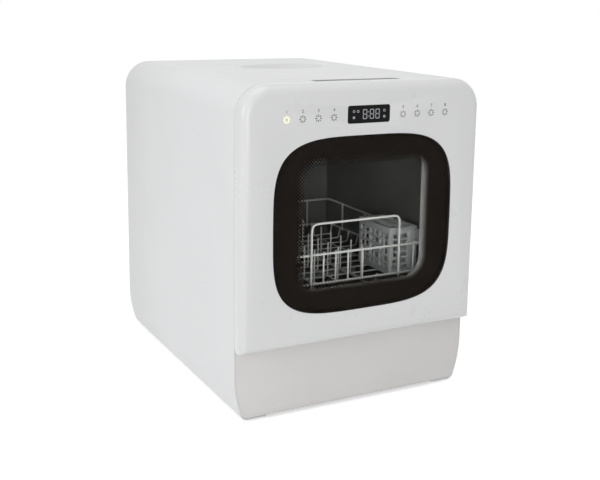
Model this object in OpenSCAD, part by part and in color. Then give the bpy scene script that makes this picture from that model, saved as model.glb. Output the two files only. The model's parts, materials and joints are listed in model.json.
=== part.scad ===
// Countertop dishwasher with a drop-down glazed door, a built-in water tank and a wire rack.
// Millimetres, +Z up, front towards -Y, origin on the standing surface under the middle of the body.

/* [Body] */
// Width over the cabinet sides
body_w = 380; // [360:5:460]
// Depth from the door face to the rear edge of the cabinet
body_d = 488; // [470:2:560]
// Height from the standing surface to the top
body_h = 470; // [460:2:520]
// Sheet thickness of the cabinet wrap
shell_t = 1.5; // [1:0.25:3]
// Radius of the long top edges
top_r = 42; // [20:1:50]
// How far each side curves inwards at its foot
side_tuck = 13; // [8:1:24]
// Height at which that inward curve starts
tuck_z = 70; // [70:1:100]
// Radius of the bottom edges
base_r = 12; // [4:1:12]
// Gap under the cabinet, taken up by the feet
foot_h = 3; // [2:0.5:8]
// Foot radius
foot_r = 13; // [8:1:18]
// Feet, distance of each from the side-to-side middle
foot_x = 120; // [90:5:130]
// Distance from the middle of a foot to the front or back of the body
foot_in = 64; // [44:4:100]

/* [Door] */
// Thickness of the door in front of the cabinet
door_t = 24; // [22:1:34]
// Height of the lower edge of the door
door_z = 106; // [100:1:112]
// Wall of the moulded door panel
door_wall = 2.5; // [1.5:0.25:4]
// Radius of the front edge of the door
edge_r = 14; // [6:1:18]
// Gap between the door and the cabinet
seam = 1; // [0.5:0.25:3]
// Radius of the hinge pins
pin_r = 3; // [2:0.25:4]
// Width of the finger pocket in the top edge
grip_w = 138; // [80:2:180]
// Front-to-back size of the finger pocket
grip_d = 24; // [16:1:30]
// Depth of the finger pocket
grip_h = 12; // [8:1:14]

/* [Window] */
// Half width of the window glass
win_a = 143.5; // [120:0.5:150]
// Distance from the lower edge of the door to the window glass
win_low = 43; // [41:1:60]
// Distance from the top of the body to the window glass
win_top = 73; // [72:1:90]
// Squareness of the window outline (2 is an ellipse)
win_n = 3.95; // [3:0.05:5]
// Thickness of the window glass
glass_t = 4; // [3:0.5:5]
// Half width of the clear zone
clear_a = 111; // [80:1:114]
// Printed border above the clear zone
border_top = 24; // [20:1:40]
// Printed border below the clear zone
border_low = 28; // [12:1:30]

/* [Controls] */
// Width of the display lens
disp_w = 67; // [50:1:90]
// Height of the display lens
disp_h = 24; // [16:1:26]
// Distance from the top of the body to the display centre
disp_top = 44; // [40:1:48]
// Distance from the top of the body to the row of touch keys
key_top = 46.5; // [42:0.5:50]
// Distance from the middle to the first key of each side
key_x = 55; // [50:1:60]
// Distance between keys
key_step = 23.7; // [20:0.1:26]
// Keys on each side of the display
key_n = 4; // [2:1:4]

/* [Tub] */
// Inside width of the tub
tub_w = 316; // [280:2:320]
// Height of the space above the tub, for the fill dish and its duct
tub_above = 40; // [38:1:58]
// Depth taken by the door, the front frame and the space behind the tub
tub_rest = 122; // [118:1:158]
// Wall of the tub
tub_t = 2; // [1:0.25:2.5]
// Height of the tub floor
tub_z = 122; // [121:0.5:124]
// Inside corner radius of the tub
tub_r = 20; // [8:1:30]

/* [Rack] */
// Rail wire radius
wire_r = 1.75; // [1.25:0.25:2]
// Thin wire radius
thin_r = 1.2; // [0.8:0.1:1.5]
// Height of the lower rail
rail_z = 178; // [174:1:182]
// Distance from the lower rail to the upper rail
rail_h = 43; // [30:1:50]
// Height of the front loop above the upper rail
loop_h = 46; // [30:1:60]
// Width of the front loop
loop_w = 147; // [100:1:160]
// Sideways place of the front loop
loop_x = 12; // [-20:1:20]
// How far the grid hangs below the lower rail
grid_drop = 16; // [10:1:20]
// Spacing of the prongs
prong_step = 31; // [22:1:34]
// Travel of the rack between the tub back and the closed door
rack_play = 7; // [2:0.5:8]

/* [Cutlery basket] */
// Width of the cutlery basket
bask_w = 50; // [40:1:56]
// Length of the cutlery basket
bask_d = 92; // [80:2:140]
// Height of the cutlery basket
bask_h = 70; // [50:1:80]
// Wall of the cutlery basket
bask_t = 2.4; // [1.6:0.2:3]

/* [Spray arm and sump] */
// Spray arm radius
arm_r = 120; // [90:1:125]
// Spray arm height over its thickness
arm_h = 11; // [8:0.5:12]
// Spray arm bearing radius
hub_r = 5; // [4:0.5:6]
// Distance of the spray arm axis behind the body middle
hub_y = -20; // [-24:1:-16]
// Sump inside radius
sump_r = 40; // [36:1:42]
// Sump centre, sideways
sump_x = 90; // [88:1:94]
// Sump centre, front to back
sump_y = -95; // [-98:1:-92]
// Depth of the sump below the tub floor
sump_h = 60; // [50:1:62]

/* [Water tank] */
// Width of the water tank
tank_w = 300; // [260:5:310]
// Front-to-back size of the water tank
tank_d = 80; // [60:2:82]
// Height of the space under the water tank, measured from the tub floor
tank_low = 78; // [74:1:128]
// Wall of the water tank
tank_t = 2.5; // [2:0.25:4]
// Half length of the oval fill dish
dish_a = 80; // [60:1:90]
// Half width of the oval fill dish
dish_b = 50; // [36:1:55]
// Depth of the fill dish
dish_h = 12; // [8:1:14]
// Fill dish centre, sideways
dish_x = 20; // [0:1:30]
// Fill dish centre, front to back
dish_y = 62; // [50:1:70]
// Fill neck inside radius
neck_r = 18; // [14:1:20]

/* [Hidden] */
$fn = 64;

fit = 0.3;                         // clearance between fitted curved faces
run = 0.05;                        // radial clearance of a turning fit
eps = 0.01;
touch = 0.05;                      // gap between welded wires

y_front = -body_d/2;
y_back = body_d/2;
y_door = y_front + door_t;         // back plane of the door
y_case = y_door + seam;            // front plane of the cabinet
body_x = body_w/2;
foot_y = body_d/2 - foot_in;
win_b = (body_h - win_top - door_z - win_low)/2;
win_z = (body_h - win_top + door_z + win_low)/2;
clear_b = win_b - (border_top + border_low)/2;
clear_z = win_z - (border_top - border_low)/2;
disp_z = body_h - disp_top;
key_z = body_h - key_top;
tub_h = body_h - tub_above - tub_z;
tub_d = body_d - tub_rest;
tank_h = tub_h - tank_low;
tuck_arc = (pow(tuck_z - foot_h, 2) + pow(side_tuck, 2))/(2*side_tuck);

frame_t = 3;                       // front frame thickness
y_tub = y_case + frame_t;
y_tub_back = y_tub + tub_d + tub_t;
tub_x = tub_w/2;
tub_top = tub_z + tub_h;
mouth_in = 4;                      // frame lip inside the tub opening
mouth_w = tub_w - 2*mouth_in;
mouth_h = tub_h - 2*mouth_in;
tub_cz = tub_z + tub_h/2;

hinge_in = 8;                      // hinge axis from the door's back and lower faces
hinge_y = y_door - hinge_in;
hinge_z = door_z + hinge_in;
arm_x = body_x - 19.5;             // inner face of the hinge arms
arm_t = 4;
plate_x = arm_x + arm_t + 1.5;     // inner face of the hinge bracket plates
plate_t = 3;
post_w = 12;
post_x = plate_x - 28;              // posts stand inside the curved sides

felt_t = 3;
skin_y = y_front + door_wall;      // inside face of the door skin
dish_edge = 9;                     // width of the shallow dish around the window
dish_deep = 2;
y_glass = y_front + dish_deep;
flange_y = y_door - 4;             // front face of the liner flange
flange_t = 2;
plug_y = y_case + 11;              // back face of the liner plug
plug_w = mouth_w - 16;
plug_h = mouth_h - 20;
lip_gap = 6;                       // liner opening margin round the clear zone
spacer_t = 1.6;                    // wall of the tunnel between the two panes

catch_r = body_h - hinge_z - 30;   // radius of the catch tongue about the hinge axis
roller_r = 4;
catch_dy = 21;
catch_y = hinge_y + catch_dy;
roller_z = hinge_z + sqrt(pow(catch_r + roller_r + fit, 2) - pow(catch_dy, 2));
catch_pin_y = catch_y + 21;
catch_pin_z = roller_z + 5;

rack_x = tub_x - 4;
loop_gap = 2*wire_r + touch;        // the loop stands in front of the rails
rack_front = plug_y + 0.5 + rack_play + loop_gap + wire_r;
rack_back = y_tub_back - tub_t - 14;
rack_mid = (rack_front + rack_back)/2;
rack_r = 14;
grid_z = rail_z - grid_drop;
grid_x = rack_x - 6.5;
rail_in = wire_r + thin_r + touch;  // from a rail to a thin wire laid against it
prong_h = 52;                      // low prongs; the rear ones on the left are taller

bask_gap = 38;                     // from the front rail to the basket
bask_x = rack_x - 8 - bask_w/2;
bask_y = rack_front + bask_gap + bask_d/2;
bask_z = grid_z + thin_r + fit;

pump_z = 80;                       // height of the wash pump axis
pump_r = 38;
pump_y = hub_y - 15;
pump_w = 30;
motor_r = 32;
motor_l = 80;
feed_r = 10;
feed_z = pump_z + pump_r - feed_r - 2;
feed_x = sump_x - pump_r - 4;       // joint between the pump outlet and the feed pipe
drain_r = 26;
drain_z = 72;
drain_x = sump_x - sump_r - 12;
drain_w = 28;
hose_r = 8;
hose_x = drain_x - drain_w/2;
hose_z = drain_z - drain_r + hose_r + 1;
hose_turn_y = 130;

tank_y = y_tub_back + 4 + tank_d/2;
tank_top = tub_top;
tank_z = tank_top - tank_h;
duct_w = 2*neck_r + 8;
outlet_x = 60;                     // tank outlet and transfer pump
duct_t = 2;
duct_z = tub_top + tub_t + felt_t + 2*fit + 1;
duct_top = body_h - dish_h - 2;

rear_y = y_back - 3.5;             // inner face of the rear panel
rear_t = 1.5;
port_z = 52;
drain_port_x = -120;
inlet_port_x = -60;
power_x = 120;

fan_x = -110;
fan_z = tank_z - 50;
fan_s = 84;
fan_t = 25;
fan_r = 36;
fan_y = y_tub_back + 20;
float_x = -120;
float_y = -150;
rod_x = -110;                      // guide rod of the tank float
rod_r = 3;

module mirror_x() {
    children();
    mirror([1, 0, 0]) children();
}

// extrudes an X-Z outline from y0 to y1
module along_y(y0, y1) {
    translate([0, y1, 0]) rotate([90, 0, 0]) linear_extrude(y1 - y0) children();
}

// rounded rectangle about the origin
module round_rect(w, h, r) {
    square([w - 2*r, h], center = true);
    square([w, h - 2*r], center = true);
    for (x = [-1, 1], y = [-1, 1])
        translate([x*(w/2 - r), y*(h/2 - r)]) circle(r);
}

// all that lies to the left of the right side's inward curve; a long curve starts beyond the body
module side_arc(arc) {
    translate([body_x - tuck_arc, tuck_z]) circle(arc, $fn = 180);
    translate([-body_x, 0]) square([max(2*body_x - tuck_arc, eps), tuck_z]);
}

// cabinet section, set in by an equal distance all round
module case_outline(inset) {
    r = top_r - inset;
    half = body_x - inset;
    arc = tuck_arc - inset;
    corner = max(base_r - inset, 1);
    low = foot_h + inset;
    corner_x = sqrt(pow(arc - corner, 2) - pow(tuck_z - low - corner, 2)) - (tuck_arc - body_x);
    lean = asin((tuck_z - low - corner)/(arc - corner));
    join_z = low + corner - corner*sin(lean);
    translate([0, (tuck_z + body_h - inset)/2])
        square([2*half, body_h - inset - tuck_z - 2*r], center = true);
    intersection() {
        translate([-half, tuck_z - eps]) square([2*half, body_h - inset - tuck_z + eps]);
        union() {
            translate([-half, tuck_z - eps]) square([2*half, body_h - inset - r - tuck_z + eps]);
            translate([r - half, tuck_z]) square([2*(half - r), body_h - inset - tuck_z]);
            for (s = [-1, 1]) translate([s*(half - r), body_h - inset - r]) circle(r);
        }
    }
    intersection() {
        translate([-half, low]) square([2*half, tuck_z - low]);
        side_arc(arc);
        mirror([1, 0]) side_arc(arc);
        union() {
            translate([-half, join_z]) square([2*half, tuck_z]);
            translate([-corner_x, low]) square([2*corner_x, tuck_z]);
            for (s = [-1, 1]) translate([s*corner_x, low + corner]) circle(corner);
        }
    }
}

function oval(a, b, n, steps) = [for (i = [0:steps - 1]) let (t = 360*i/steps)
    [a*sign(cos(t))*pow(abs(cos(t)), 2/n), b*sign(sin(t))*pow(abs(sin(t)), 2/n)]];

module win_outline(grow) {
    translate([0, win_z]) polygon(oval(win_a + grow, win_b + grow, win_n, 96));
}

// door outline: the cabinet section above the door's lower edge
module door_outline(inset) {
    intersection() {
        case_outline(inset);
        translate([-body_x, door_z + inset]) square([body_w, body_h]);
    }
}

// door solid with a rounded front edge, set in by an equal distance
module door_solid(inset, back) {
    r = edge_r - inset;
    steps = 6;
    hull() {
        for (i = [0:steps])
            let (t = 90*i/steps, y = y_front + inset + r*(1 - sin(t)))
            along_y(y, y + eps) door_outline(inset + r*(1 - cos(t)), $fn = 48);
        along_y(back - eps, back) door_outline(inset, $fn = 48);
    }
}

// round bar between two points
module bar(p, q, r) {
    d = q - p;
    len = norm(d);
    translate(p) rotate([0, acos(d[2]/len), atan2(d[1], d[0])]) cylinder(r = r, h = len, $fn = 24);
}

// flat wire loop with rounded corners at height z
module wire_loop(w, d, r, wr) {
    for (s = [-1, 1]) {
        bar([-w/2 + r, s*d/2, 0], [w/2 - r, s*d/2, 0], wr);
        bar([s*w/2, -d/2 + r, 0], [s*w/2, d/2 - r, 0], wr);
    }
    for (a = [0:3]) rotate(90*a)
        translate([(a%2 == 0 ? w : d)/2 - r, (a%2 == 0 ? d : w)/2 - r])
        rotate_extrude(angle = 90, $fn = 48) translate([r, 0]) circle(wr, $fn = 24);
}

module screw_spots() {
    for (x = [-1, 1], z = [60, 160, 260, 360]) translate([x*(body_x - 8), z]) children();
    for (x = [-1, 1]) translate([x*60, body_h - 8]) children();
}

/* ---- cabinet ---- */

module cabinet_shell() color("whitesmoke") difference() {
    union() {
        along_y(y_case, y_back) difference() {
            case_outline(0);
            case_outline(shell_t);
            translate([-foot_x - 20, -eps]) square([2*foot_x + 40, foot_h + shell_t + 1]);
        }
        along_y(rear_y - 2, rear_y) difference() {
            case_outline(shell_t);
            translate([0, -8]) case_outline(14);
            translate([-body_x, -eps]) square([body_w, 40]);
        }
        grip_box(shell_t);
    }
    grip_box(0);
    along_y(rear_y - 3, y_back + 1) screw_spots() circle(1.8, $fn = 24);
    translate([dish_x, dish_y, body_h - shell_t - 1]) linear_extrude(shell_t + 2)
        polygon(oval(dish_a, dish_b, 2, 72));
}

module grip_box(wall) {
    x = grip_w/2 + wall;
    translate([-x, y_case - (wall > 0 ? 0 : 1), body_h - grip_h - wall])
        cube([2*x, grip_d + wall + (wall > 0 ? 0 : 1), grip_h + wall - (wall > 0 ? shell_t/2 : -1)]);
}

module rear_panel() color("gainsboro") along_y(rear_y, rear_y + rear_t) difference() {
    case_outline(shell_t + fit);
    translate([-body_x, -1]) square([body_w, 20]);
    screw_spots() circle(1.8, $fn = 24);
    translate([drain_port_x, port_z]) circle(11);
    translate([inlet_port_x, port_z]) circle(11);
    translate([power_x, port_z]) square([34, 26], center = true);
    for (i = [-5:5]) translate([fan_x + 7*i, fan_z]) square([3.5, 64], center = true);
}

module base_pan() color("dimgray") {
    wall = 3;
    in = shell_t + fit;
    difference() {
        intersection() {
            along_y(y_tub, rear_y - 2 - fit) case_outline(in);
            translate([-body_x, y_tub, 0]) cube([body_w, body_d, 40]);
        }
        intersection() {
            along_y(y_tub + wall, rear_y - 2 - fit - wall) case_outline(in + wall);
            translate([-body_x, y_tub, 0]) cube([body_w, body_d, 60]);
        }
        for (x = [-1, 1], y = [-1, 1])
            translate([x*foot_x, y*foot_y, 0]) cylinder(r = 5 + fit, h = 20);
        for (x = [drain_port_x, inlet_port_x])
            translate([x, rear_y, port_z]) rotate([90, 0, 0]) cylinder(r = 16, h = 20);
        translate([power_x - 18, rear_y - 20, port_z - 14]) cube([36, 30, 60]);
    }
}

pan_low = foot_h + shell_t + fit;
pan_top = pan_low + 3;

module feet() color("darkslategray") for (x = [-1, 1], y = [-1, 1]) translate([x*foot_x, y*foot_y, 0]) {
    cylinder(r = foot_r, h = pan_low);
    cylinder(r = 5, h = pan_top + 2);
}

module plinth_panel() color("lightgray") along_y(y_case + 0.5, y_tub) intersection() {
    case_outline(shell_t + fit);
    translate([-body_x, 0]) square([body_w, door_z - 3]);
}

module front_frame() color("silver") {
    frame_sheet();
    // welded bracket and pin of the door catch
    mirror_x() translate([11, y_tub - 1, roller_z - 7]) cube([2, catch_pin_y + 6 - y_tub, 17]);
    translate([-13, catch_pin_y, catch_pin_z]) rotate([0, 90, 0]) cylinder(r = 2, h = 26, $fn = 32);
}

module frame_sheet() along_y(y_case, y_tub) difference() {
    intersection() {
        case_outline(shell_t + fit);
        translate([-body_x, door_z - 3 + fit]) square([body_w, body_h]);
    }
    translate([0, tub_cz]) round_rect(mouth_w, mouth_h, tub_r);
    translate([0, hinge_z + catch_r - 2]) square([24, 14], center = true);
    for (s = [-1, 1]) translate([s*(plate_x + plate_t/2), hinge_z])
        square([plate_t + 1.4, 2*hinge_in], center = true);
    translate([-grip_w/2 - shell_t - fit, body_h - grip_h - shell_t - fit])
        square([grip_w + 2*shell_t + 2*fit, grip_h + 4]);
}

module frame_posts() color("darkgray") {
    for (y = [y_tub + 4, y_tub_back - 40]) {
        mirror_x() translate([post_x, y, pan_top]) cube([post_w, 16, tub_z - tub_t - 8 - pan_top]);
        translate([-plate_x, y, tub_z - tub_t - 8]) cube([2*plate_x, 16, 8]);
    }
}

module hinge_brackets() color("slategray") mirror_x() {
    translate([plate_x, 0, 0]) {
        translate([0, hinge_y, hinge_z]) rotate([0, 90, 0]) cylinder(r = hinge_in - 1.5, h = plate_t);
        translate([0, hinge_y, hinge_z - hinge_in + 1.5])
            cube([plate_t, y_tub + 20 - hinge_y, 2*hinge_in - 3]);
        translate([0, y_tub + 4, hinge_z - 60]) cube([plate_t, 16, 60]);
    }
    translate([arm_x - 1.5, hinge_y, hinge_z]) rotate([0, 90, 0])
        cylinder(r = pin_r, h = plate_x + plate_t + 2 - arm_x + 1.5);
}

module tub() color("dimgray") {
    difference() {
        along_y(y_tub, y_tub_back) translate([0, tub_cz])
            round_rect(tub_w + 2*tub_t, tub_h + 2*tub_t, tub_r + tub_t);
        along_y(y_tub - 1, y_tub_back - tub_t) translate([0, tub_cz]) round_rect(tub_w, tub_h, tub_r);
        translate([sump_x, sump_y, tub_z - 5]) cylinder(r = sump_r, h = 10);
        translate([0, hub_y, tub_z - 5]) cylinder(r = feed_r - 2, h = 10);
        for (x = [-1, 1]) translate([x*heat_r, hub_y, tub_z - 5]) cylinder(r = 4.5, h = 10);
        translate([float_x, float_y, tub_z - 5]) cylinder(r = 4 + fit, h = 10);
        translate([fan_x, y_tub_back - 5, fan_z]) rotate([-90, 0, 0]) cylinder(r = 30, h = 10);
        translate([outlet_x, y_tub_back - 5, tank_z - 22]) rotate([-90, 0, 0]) cylinder(r = 5, h = 10);
    }
    // moulded runners that carry the rack
    mirror_x() translate([rack_x - 1, rack_front - 8, rail_z - wire_r - fit - 3])
        cube([tub_x - rack_x + 1 + tub_t/2, rack_back - rack_front + 12, 3]);
}

module insulation_felt() color("darkgray") difference() {
    along_y(y_tub + 24, y_tub_back - 6) translate([0, tub_cz]) difference() {
        round_rect(tub_w + 2*(tub_t + fit + felt_t), tub_h + 2*(tub_t + fit + felt_t), tub_r + tub_t + felt_t);
        round_rect(tub_w + 2*(tub_t + fit), tub_h + 2*(tub_t + fit), tub_r + tub_t + fit);
        translate([-body_x, -tub_h/2 - 20]) square([body_w, 60]);
    }
}

gasket_w = 9;
module door_gasket() color("gray") along_y(flange_y + flange_t + fit, y_case) translate([0, tub_cz])
difference() {
    round_rect(mouth_w + 2*gasket_w, mouth_h + 2*gasket_w - 8, tub_r + gasket_w);
    round_rect(mouth_w, mouth_h - 8, tub_r);
}

// door switch beside the catch, and float switch under the tub floor
module switches() color("black") {
    translate([18, y_tub, roller_z - 8]) cube([20, 12, 12]);
    translate([float_x, float_y, 0]) difference() {
        translate([-12, -9, tub_z - tub_t - 16]) cube([24, 18, 16]);
        translate([0, 0, tub_z - tub_t - 12]) cylinder(r = 4 + fit, h = 20);
    }
}

module sump() color("gray") difference() {
    union() {
        translate([sump_x, sump_y, tub_z - tub_t - sump_h]) cylinder(r = sump_r + 3, h = sump_h);
        translate([sump_x, sump_y, tub_z - tub_t - 3]) cylinder(r = sump_r + 9, h = 3);
        translate([sump_x, pump_y, pump_z]) rotate([90, 0, 0]) cylinder(r = 14, h = pump_y - sump_y);
        translate([drain_x, sump_y, drain_z]) rotate([0, 90, 0]) cylinder(r = 9, h = sump_x - drain_x);
    }
    translate([sump_x, sump_y, tub_z - tub_t - sump_h + 3]) cylinder(r = sump_r, h = sump_h);
    translate([sump_x, pump_y + 1, pump_z]) rotate([90, 0, 0]) cylinder(r = 11, h = pump_y - sump_y);
    translate([drain_x - 1, sump_y, drain_z]) rotate([0, 90, 0]) cylinder(r = 6.5, h = sump_x - drain_x);
}

cup_r = 29;
module filter_plate() color("silver") translate([sump_x, sump_y, tub_z]) difference() {
    cylinder(r = sump_r + 5, h = 1.2);
    translate([0, 0, -1]) cylinder(r = cup_r + fit, h = 4);
    for (a = [0:15:345]) rotate(a) translate([cup_r + 5, 0, -1]) cylinder(r = 1.3, h = 4, $fn = 24);
}

module filter_cup() color("steelblue") translate([sump_x, sump_y, 0]) {
    low = tub_z - sump_h + 12;
    difference() {
        translate([0, 0, low]) cylinder(r = cup_r, h = tub_z + 2.5 - low);
        translate([0, 0, low + 2]) cylinder(r = cup_r - 2, h = 100);
        for (a = [0:30:330]) rotate(a) translate([0, -3, low + 8]) cube([cup_r + 5, 6, 24]);
    }
    translate([-cup_r + 1, -2, tub_z]) cube([2*cup_r - 2, 4, 5]);
}

hub_top = tub_z + 10;
module spray_hub() color("gray") translate([0, hub_y, 0]) difference() {
    union() {
        translate([0, 0, tub_z]) cylinder(r = 18, h = 3);
        translate([0, 0, tub_z]) cylinder(r = 9, h = hub_top - fit - tub_z);
        translate([0, 0, tub_z]) cylinder(r = hub_r, h = hub_top + arm_h + 4 - tub_z);
    }
    translate([0, 0, tub_z - 1]) cylinder(r = hub_r - 2, h = 14);
}

module hub_nut() color("dimgray") translate([0, hub_y, hub_top + arm_h + fit]) difference() {
    cylinder(r = 9, h = 6);
    translate([0, 0, -1]) cylinder(r = hub_r + run, h = 5 - fit);
}

module spray_arm() color("lightgray") translate([0, hub_y, hub_top]) difference() {
    union() {
        linear_extrude(arm_h - 3) {
            for (s = [0, 180]) rotate(s) polygon([[0, -16], [arm_r - 12, -9], [arm_r - 12, 9], [0, 16]]);
            for (s = [-1, 1]) translate([s*(arm_r - 12), 0]) circle(9.2);
        }
        cylinder(r = 16.3, h = arm_h);
    }
    translate([0, 0, -1]) cylinder(r = hub_r + run, h = arm_h + 2);
    for (s = [-1, 1], i = [1:4]) translate([s*(22 + i*20), i%2 == 0 ? 4 : -4, 3])
        cylinder(r = 1.6, h = arm_h, $fn = 24);
}

heat_r = 68;
heat_wire = 3.2;
heat_leg = 5.5;                    // how far the ends stand below the tub floor
module tub_heater() color("silver") translate([0, hub_y, 0]) {
    lift = 4.4;                    // ring centre above the tub floor
    translate([0, 0, tub_z + lift]) rotate_extrude($fn = 96)
        translate([heat_r, 0]) circle(heat_wire, $fn = 24);
    for (s = [-1, 1]) {
        translate([s*heat_r, 0, tub_z - heat_leg]) cylinder(r = heat_wire + 0.4, h = heat_leg + lift);
        translate([s*heat_r, 0, tub_z - tub_t - 4]) cylinder(r = 8, h = 4);
    }
}

module feed_pipe() color("gray") difference() {
    union() {
        translate([0, hub_y, feed_z]) rotate([0, 90, 0]) cylinder(r = feed_r, h = feed_x);
        translate([0, hub_y, feed_z]) sphere(feed_r + 0.2);
        translate([0, hub_y, feed_z]) cylinder(r = feed_r, h = tub_z - tub_t - feed_z);
    }
    translate([0, hub_y, feed_z]) rotate([0, 90, 0]) cylinder(r = feed_r - 2, h = sump_x);
    translate([0, hub_y, feed_z]) sphere(feed_r - 1.9);
    translate([0, hub_y, feed_z]) cylinder(r = feed_r - 2, h = 60);
}

module wash_pump() color("dimgray") difference() {
    union() {
        translate([sump_x, pump_y + pump_w, pump_z]) rotate([90, 0, 0]) cylinder(r = pump_r, h = pump_w);
        translate([feed_x, hub_y, feed_z]) rotate([0, 90, 0]) cylinder(r = feed_r, h = sump_x - feed_x);
    }
    translate([feed_x - 1, hub_y, feed_z]) rotate([0, 90, 0]) cylinder(r = feed_r - 2, h = sump_x - feed_x);
    translate([sump_x, pump_y + pump_w - 3, pump_z]) rotate([90, 0, 0])
        cylinder(r = pump_r - 3, h = pump_w - 6);
    translate([sump_x, pump_y + 10, pump_z]) rotate([90, 0, 0]) cylinder(r = 11, h = 20);
    translate([sump_x, pump_y + pump_w + 1, pump_z]) rotate([90, 0, 0]) cylinder(r = 5, h = 10);
}

module pump_motor() color("darkslategray") difference() {
    translate([sump_x, pump_y + pump_w + motor_l, pump_z]) rotate([90, 0, 0])
        cylinder(r = motor_r, h = motor_l);
    translate([sump_x, pump_y + pump_w + 41, pump_z]) rotate([90, 0, 0]) cylinder(r = 3 + run, h = 42);
}

module pump_impeller() color("white") translate([sump_x, pump_y, pump_z]) rotate([-90, 0, 0]) {
    translate([0, 0, 14]) cylinder(r = 27, h = 3);
    for (a = [0:60:300]) rotate(a) translate([6, -1, 6]) cube([20, 2, 9]);
    translate([0, 0, 8]) cylinder(r = 7, h = 10);
    translate([0, 0, 10]) cylinder(r = 3, h = pump_w + 28);
}

module drain_impeller() color("white") translate([drain_x, sump_y, drain_z]) rotate([0, -90, 0]) {
    translate([0, 0, 12]) cylinder(r = 17, h = 3);
    for (a = [0:90:270]) rotate(a) translate([3, -1, 6]) cube([13, 2, 7]);
    cylinder(r = 2, h = drain_w + 18);
}

module pump_mounts() color("black") for (y = [14, 52])
    translate([sump_x - 14, pump_y + pump_w + y, pan_top]) cube([28, 12, pump_z - motor_r - fit - pan_top]);

module drain_pump() color("dimgray") difference() {
    union() {
        translate([drain_x - drain_w, sump_y, drain_z]) rotate([0, 90, 0]) cylinder(r = drain_r, h = drain_w);
        translate([drain_x - drain_w - 46, sump_y, drain_z]) rotate([0, 90, 0]) cylinder(r = 20, h = 47);
        translate([hose_x, sump_y + 34, hose_z]) rotate([90, 0, 0]) cylinder(r = hose_r, h = 26);
    }
    translate([drain_x - drain_w + 3, sump_y, drain_z]) rotate([0, 90, 0])
        cylinder(r = drain_r - 3, h = drain_w - 6);
    translate([drain_x - 5, sump_y, drain_z]) rotate([0, 90, 0]) cylinder(r = 6.5, h = 10);
    translate([drain_x - drain_w - 20, sump_y, drain_z]) rotate([0, 90, 0]) cylinder(r = 2 + run, h = 30);
    translate([hose_x, sump_y + 35, hose_z]) rotate([90, 0, 0]) cylinder(r = hose_r - 2, h = 30);
}

// drain hose to the rear spigot, and filling hose from the inlet valve up to the tank
module hoses() color("black") {
    start_y = sump_y + 34;
    end_y = rear_y - 20;
    bar([hose_x, start_y, hose_z], [hose_x, hose_turn_y, hose_z], hose_r);
    translate([hose_x, hose_turn_y, hose_z]) sphere(hose_r + 0.2, $fn = 32);
    bar([hose_x, hose_turn_y, hose_z], [drain_port_x, hose_turn_y, port_z], hose_r);
    translate([drain_port_x, hose_turn_y, port_z]) sphere(hose_r + 0.2, $fn = 32);
    bar([drain_port_x, hose_turn_y, port_z], [drain_port_x, end_y, port_z], hose_r);
    translate([inlet_port_x, tank_y, port_z + 14]) cylinder(r = 5.5, h = tank_z - port_z - 14);
}

module water_tank() color("lightsteelblue") {
    difference() {
        translate([-tank_w/2, tank_y - tank_d/2, tank_z]) cube([tank_w, tank_d, tank_h]);
        translate([-tank_w/2 + tank_t, tank_y - tank_d/2 + tank_t, tank_z + tank_t])
            cube([tank_w - 2*tank_t, tank_d - 2*tank_t, tank_h - 2*tank_t]);
        translate([dish_x - duct_w/2 + duct_t, tank_y - 14, tank_top - 10])
            cube([duct_w - 2*duct_t, 20, 20]);
        translate([outlet_x, tank_y, tank_z - 5]) cylinder(r = 6, h = 20);
        translate([inlet_port_x, tank_y, tank_z - 5]) cylinder(r = 4, h = 20);
    }
    translate([rod_x, tank_y, tank_z + tank_t - eps]) cylinder(r = rod_r, h = tank_h - 2*tank_t + 2*eps);
}

module fill_dish() color("white") translate([dish_x, dish_y, 0]) difference() {
    hull() {
        translate([0, 0, body_h - eps]) linear_extrude(eps) polygon(oval(dish_a - fit, dish_b - fit, 2, 48));
        translate([0, 0, body_h - dish_h*0.6]) linear_extrude(eps)
            polygon(oval(dish_a - 8, dish_b - 8, 2, 48));
        translate([0, 0, body_h - dish_h - 2]) linear_extrude(eps)
            polygon(oval(dish_a - 16, dish_b - 16, 2, 48));
    }
    hull() {
        translate([0, 0, body_h]) linear_extrude(eps) polygon(oval(dish_a - 3, dish_b - 3, 2, 48));
        translate([0, 0, body_h - dish_h*0.6]) linear_extrude(eps)
            polygon(oval(dish_a - 11, dish_b - 11, 2, 48));
        translate([0, 0, body_h - dish_h]) linear_extrude(eps)
            polygon(oval(dish_a - 20, dish_b - 20, 2, 48));
    }
    translate([0, 0, body_h - dish_h - 5]) cylinder(r = neck_r, h = 20);
}

module fill_cap() color("white") translate([dish_x, dish_y, body_h - dish_h + fit]) {
    cylinder(r = neck_r + 6, h = 4);
    translate([0, 0, -6]) cylinder(r = neck_r - fit, h = 7);
    translate([-14, -2, 3]) cube([28, 4, 6]);
}

module fill_duct() color("gray") {
    y0 = dish_y - duct_w/2;
    y1 = tank_y + 8;
    difference() {
        union() {
            translate([dish_x - duct_w/2, y0, duct_z]) cube([duct_w, y1 - y0, duct_top - duct_z]);
            translate([dish_x - duct_w/2, tank_y - 16, tank_top]) cube([duct_w, 24, duct_z - tank_top + 1]);
        }
        translate([dish_x - duct_w/2 + duct_t, y0 + duct_t, duct_z + duct_t])
            cube([duct_w - 2*duct_t, y1 - y0 - 2*duct_t, duct_top - duct_z - 2*duct_t]);
        translate([dish_x - duct_w/2 + duct_t, tank_y - 14, tank_top - 1]) cube([duct_w - 2*duct_t, 20, 20]);
        translate([dish_x, dish_y, duct_top - 5]) cylinder(r = neck_r + fit, h = 10);
    }
}

module transfer_pump() color("dimgray") {
    translate([outlet_x, tank_y, tank_z - 40]) cylinder(r = 18, h = 34);
    translate([outlet_x, tank_y, tank_z - 8]) cylinder(r = 9, h = 8);
    translate([outlet_x, y_tub_back, tank_z - 22]) rotate([-90, 0, 0])
        cylinder(r = 6.5, h = tank_y - 10 - y_tub_back);
}

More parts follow.
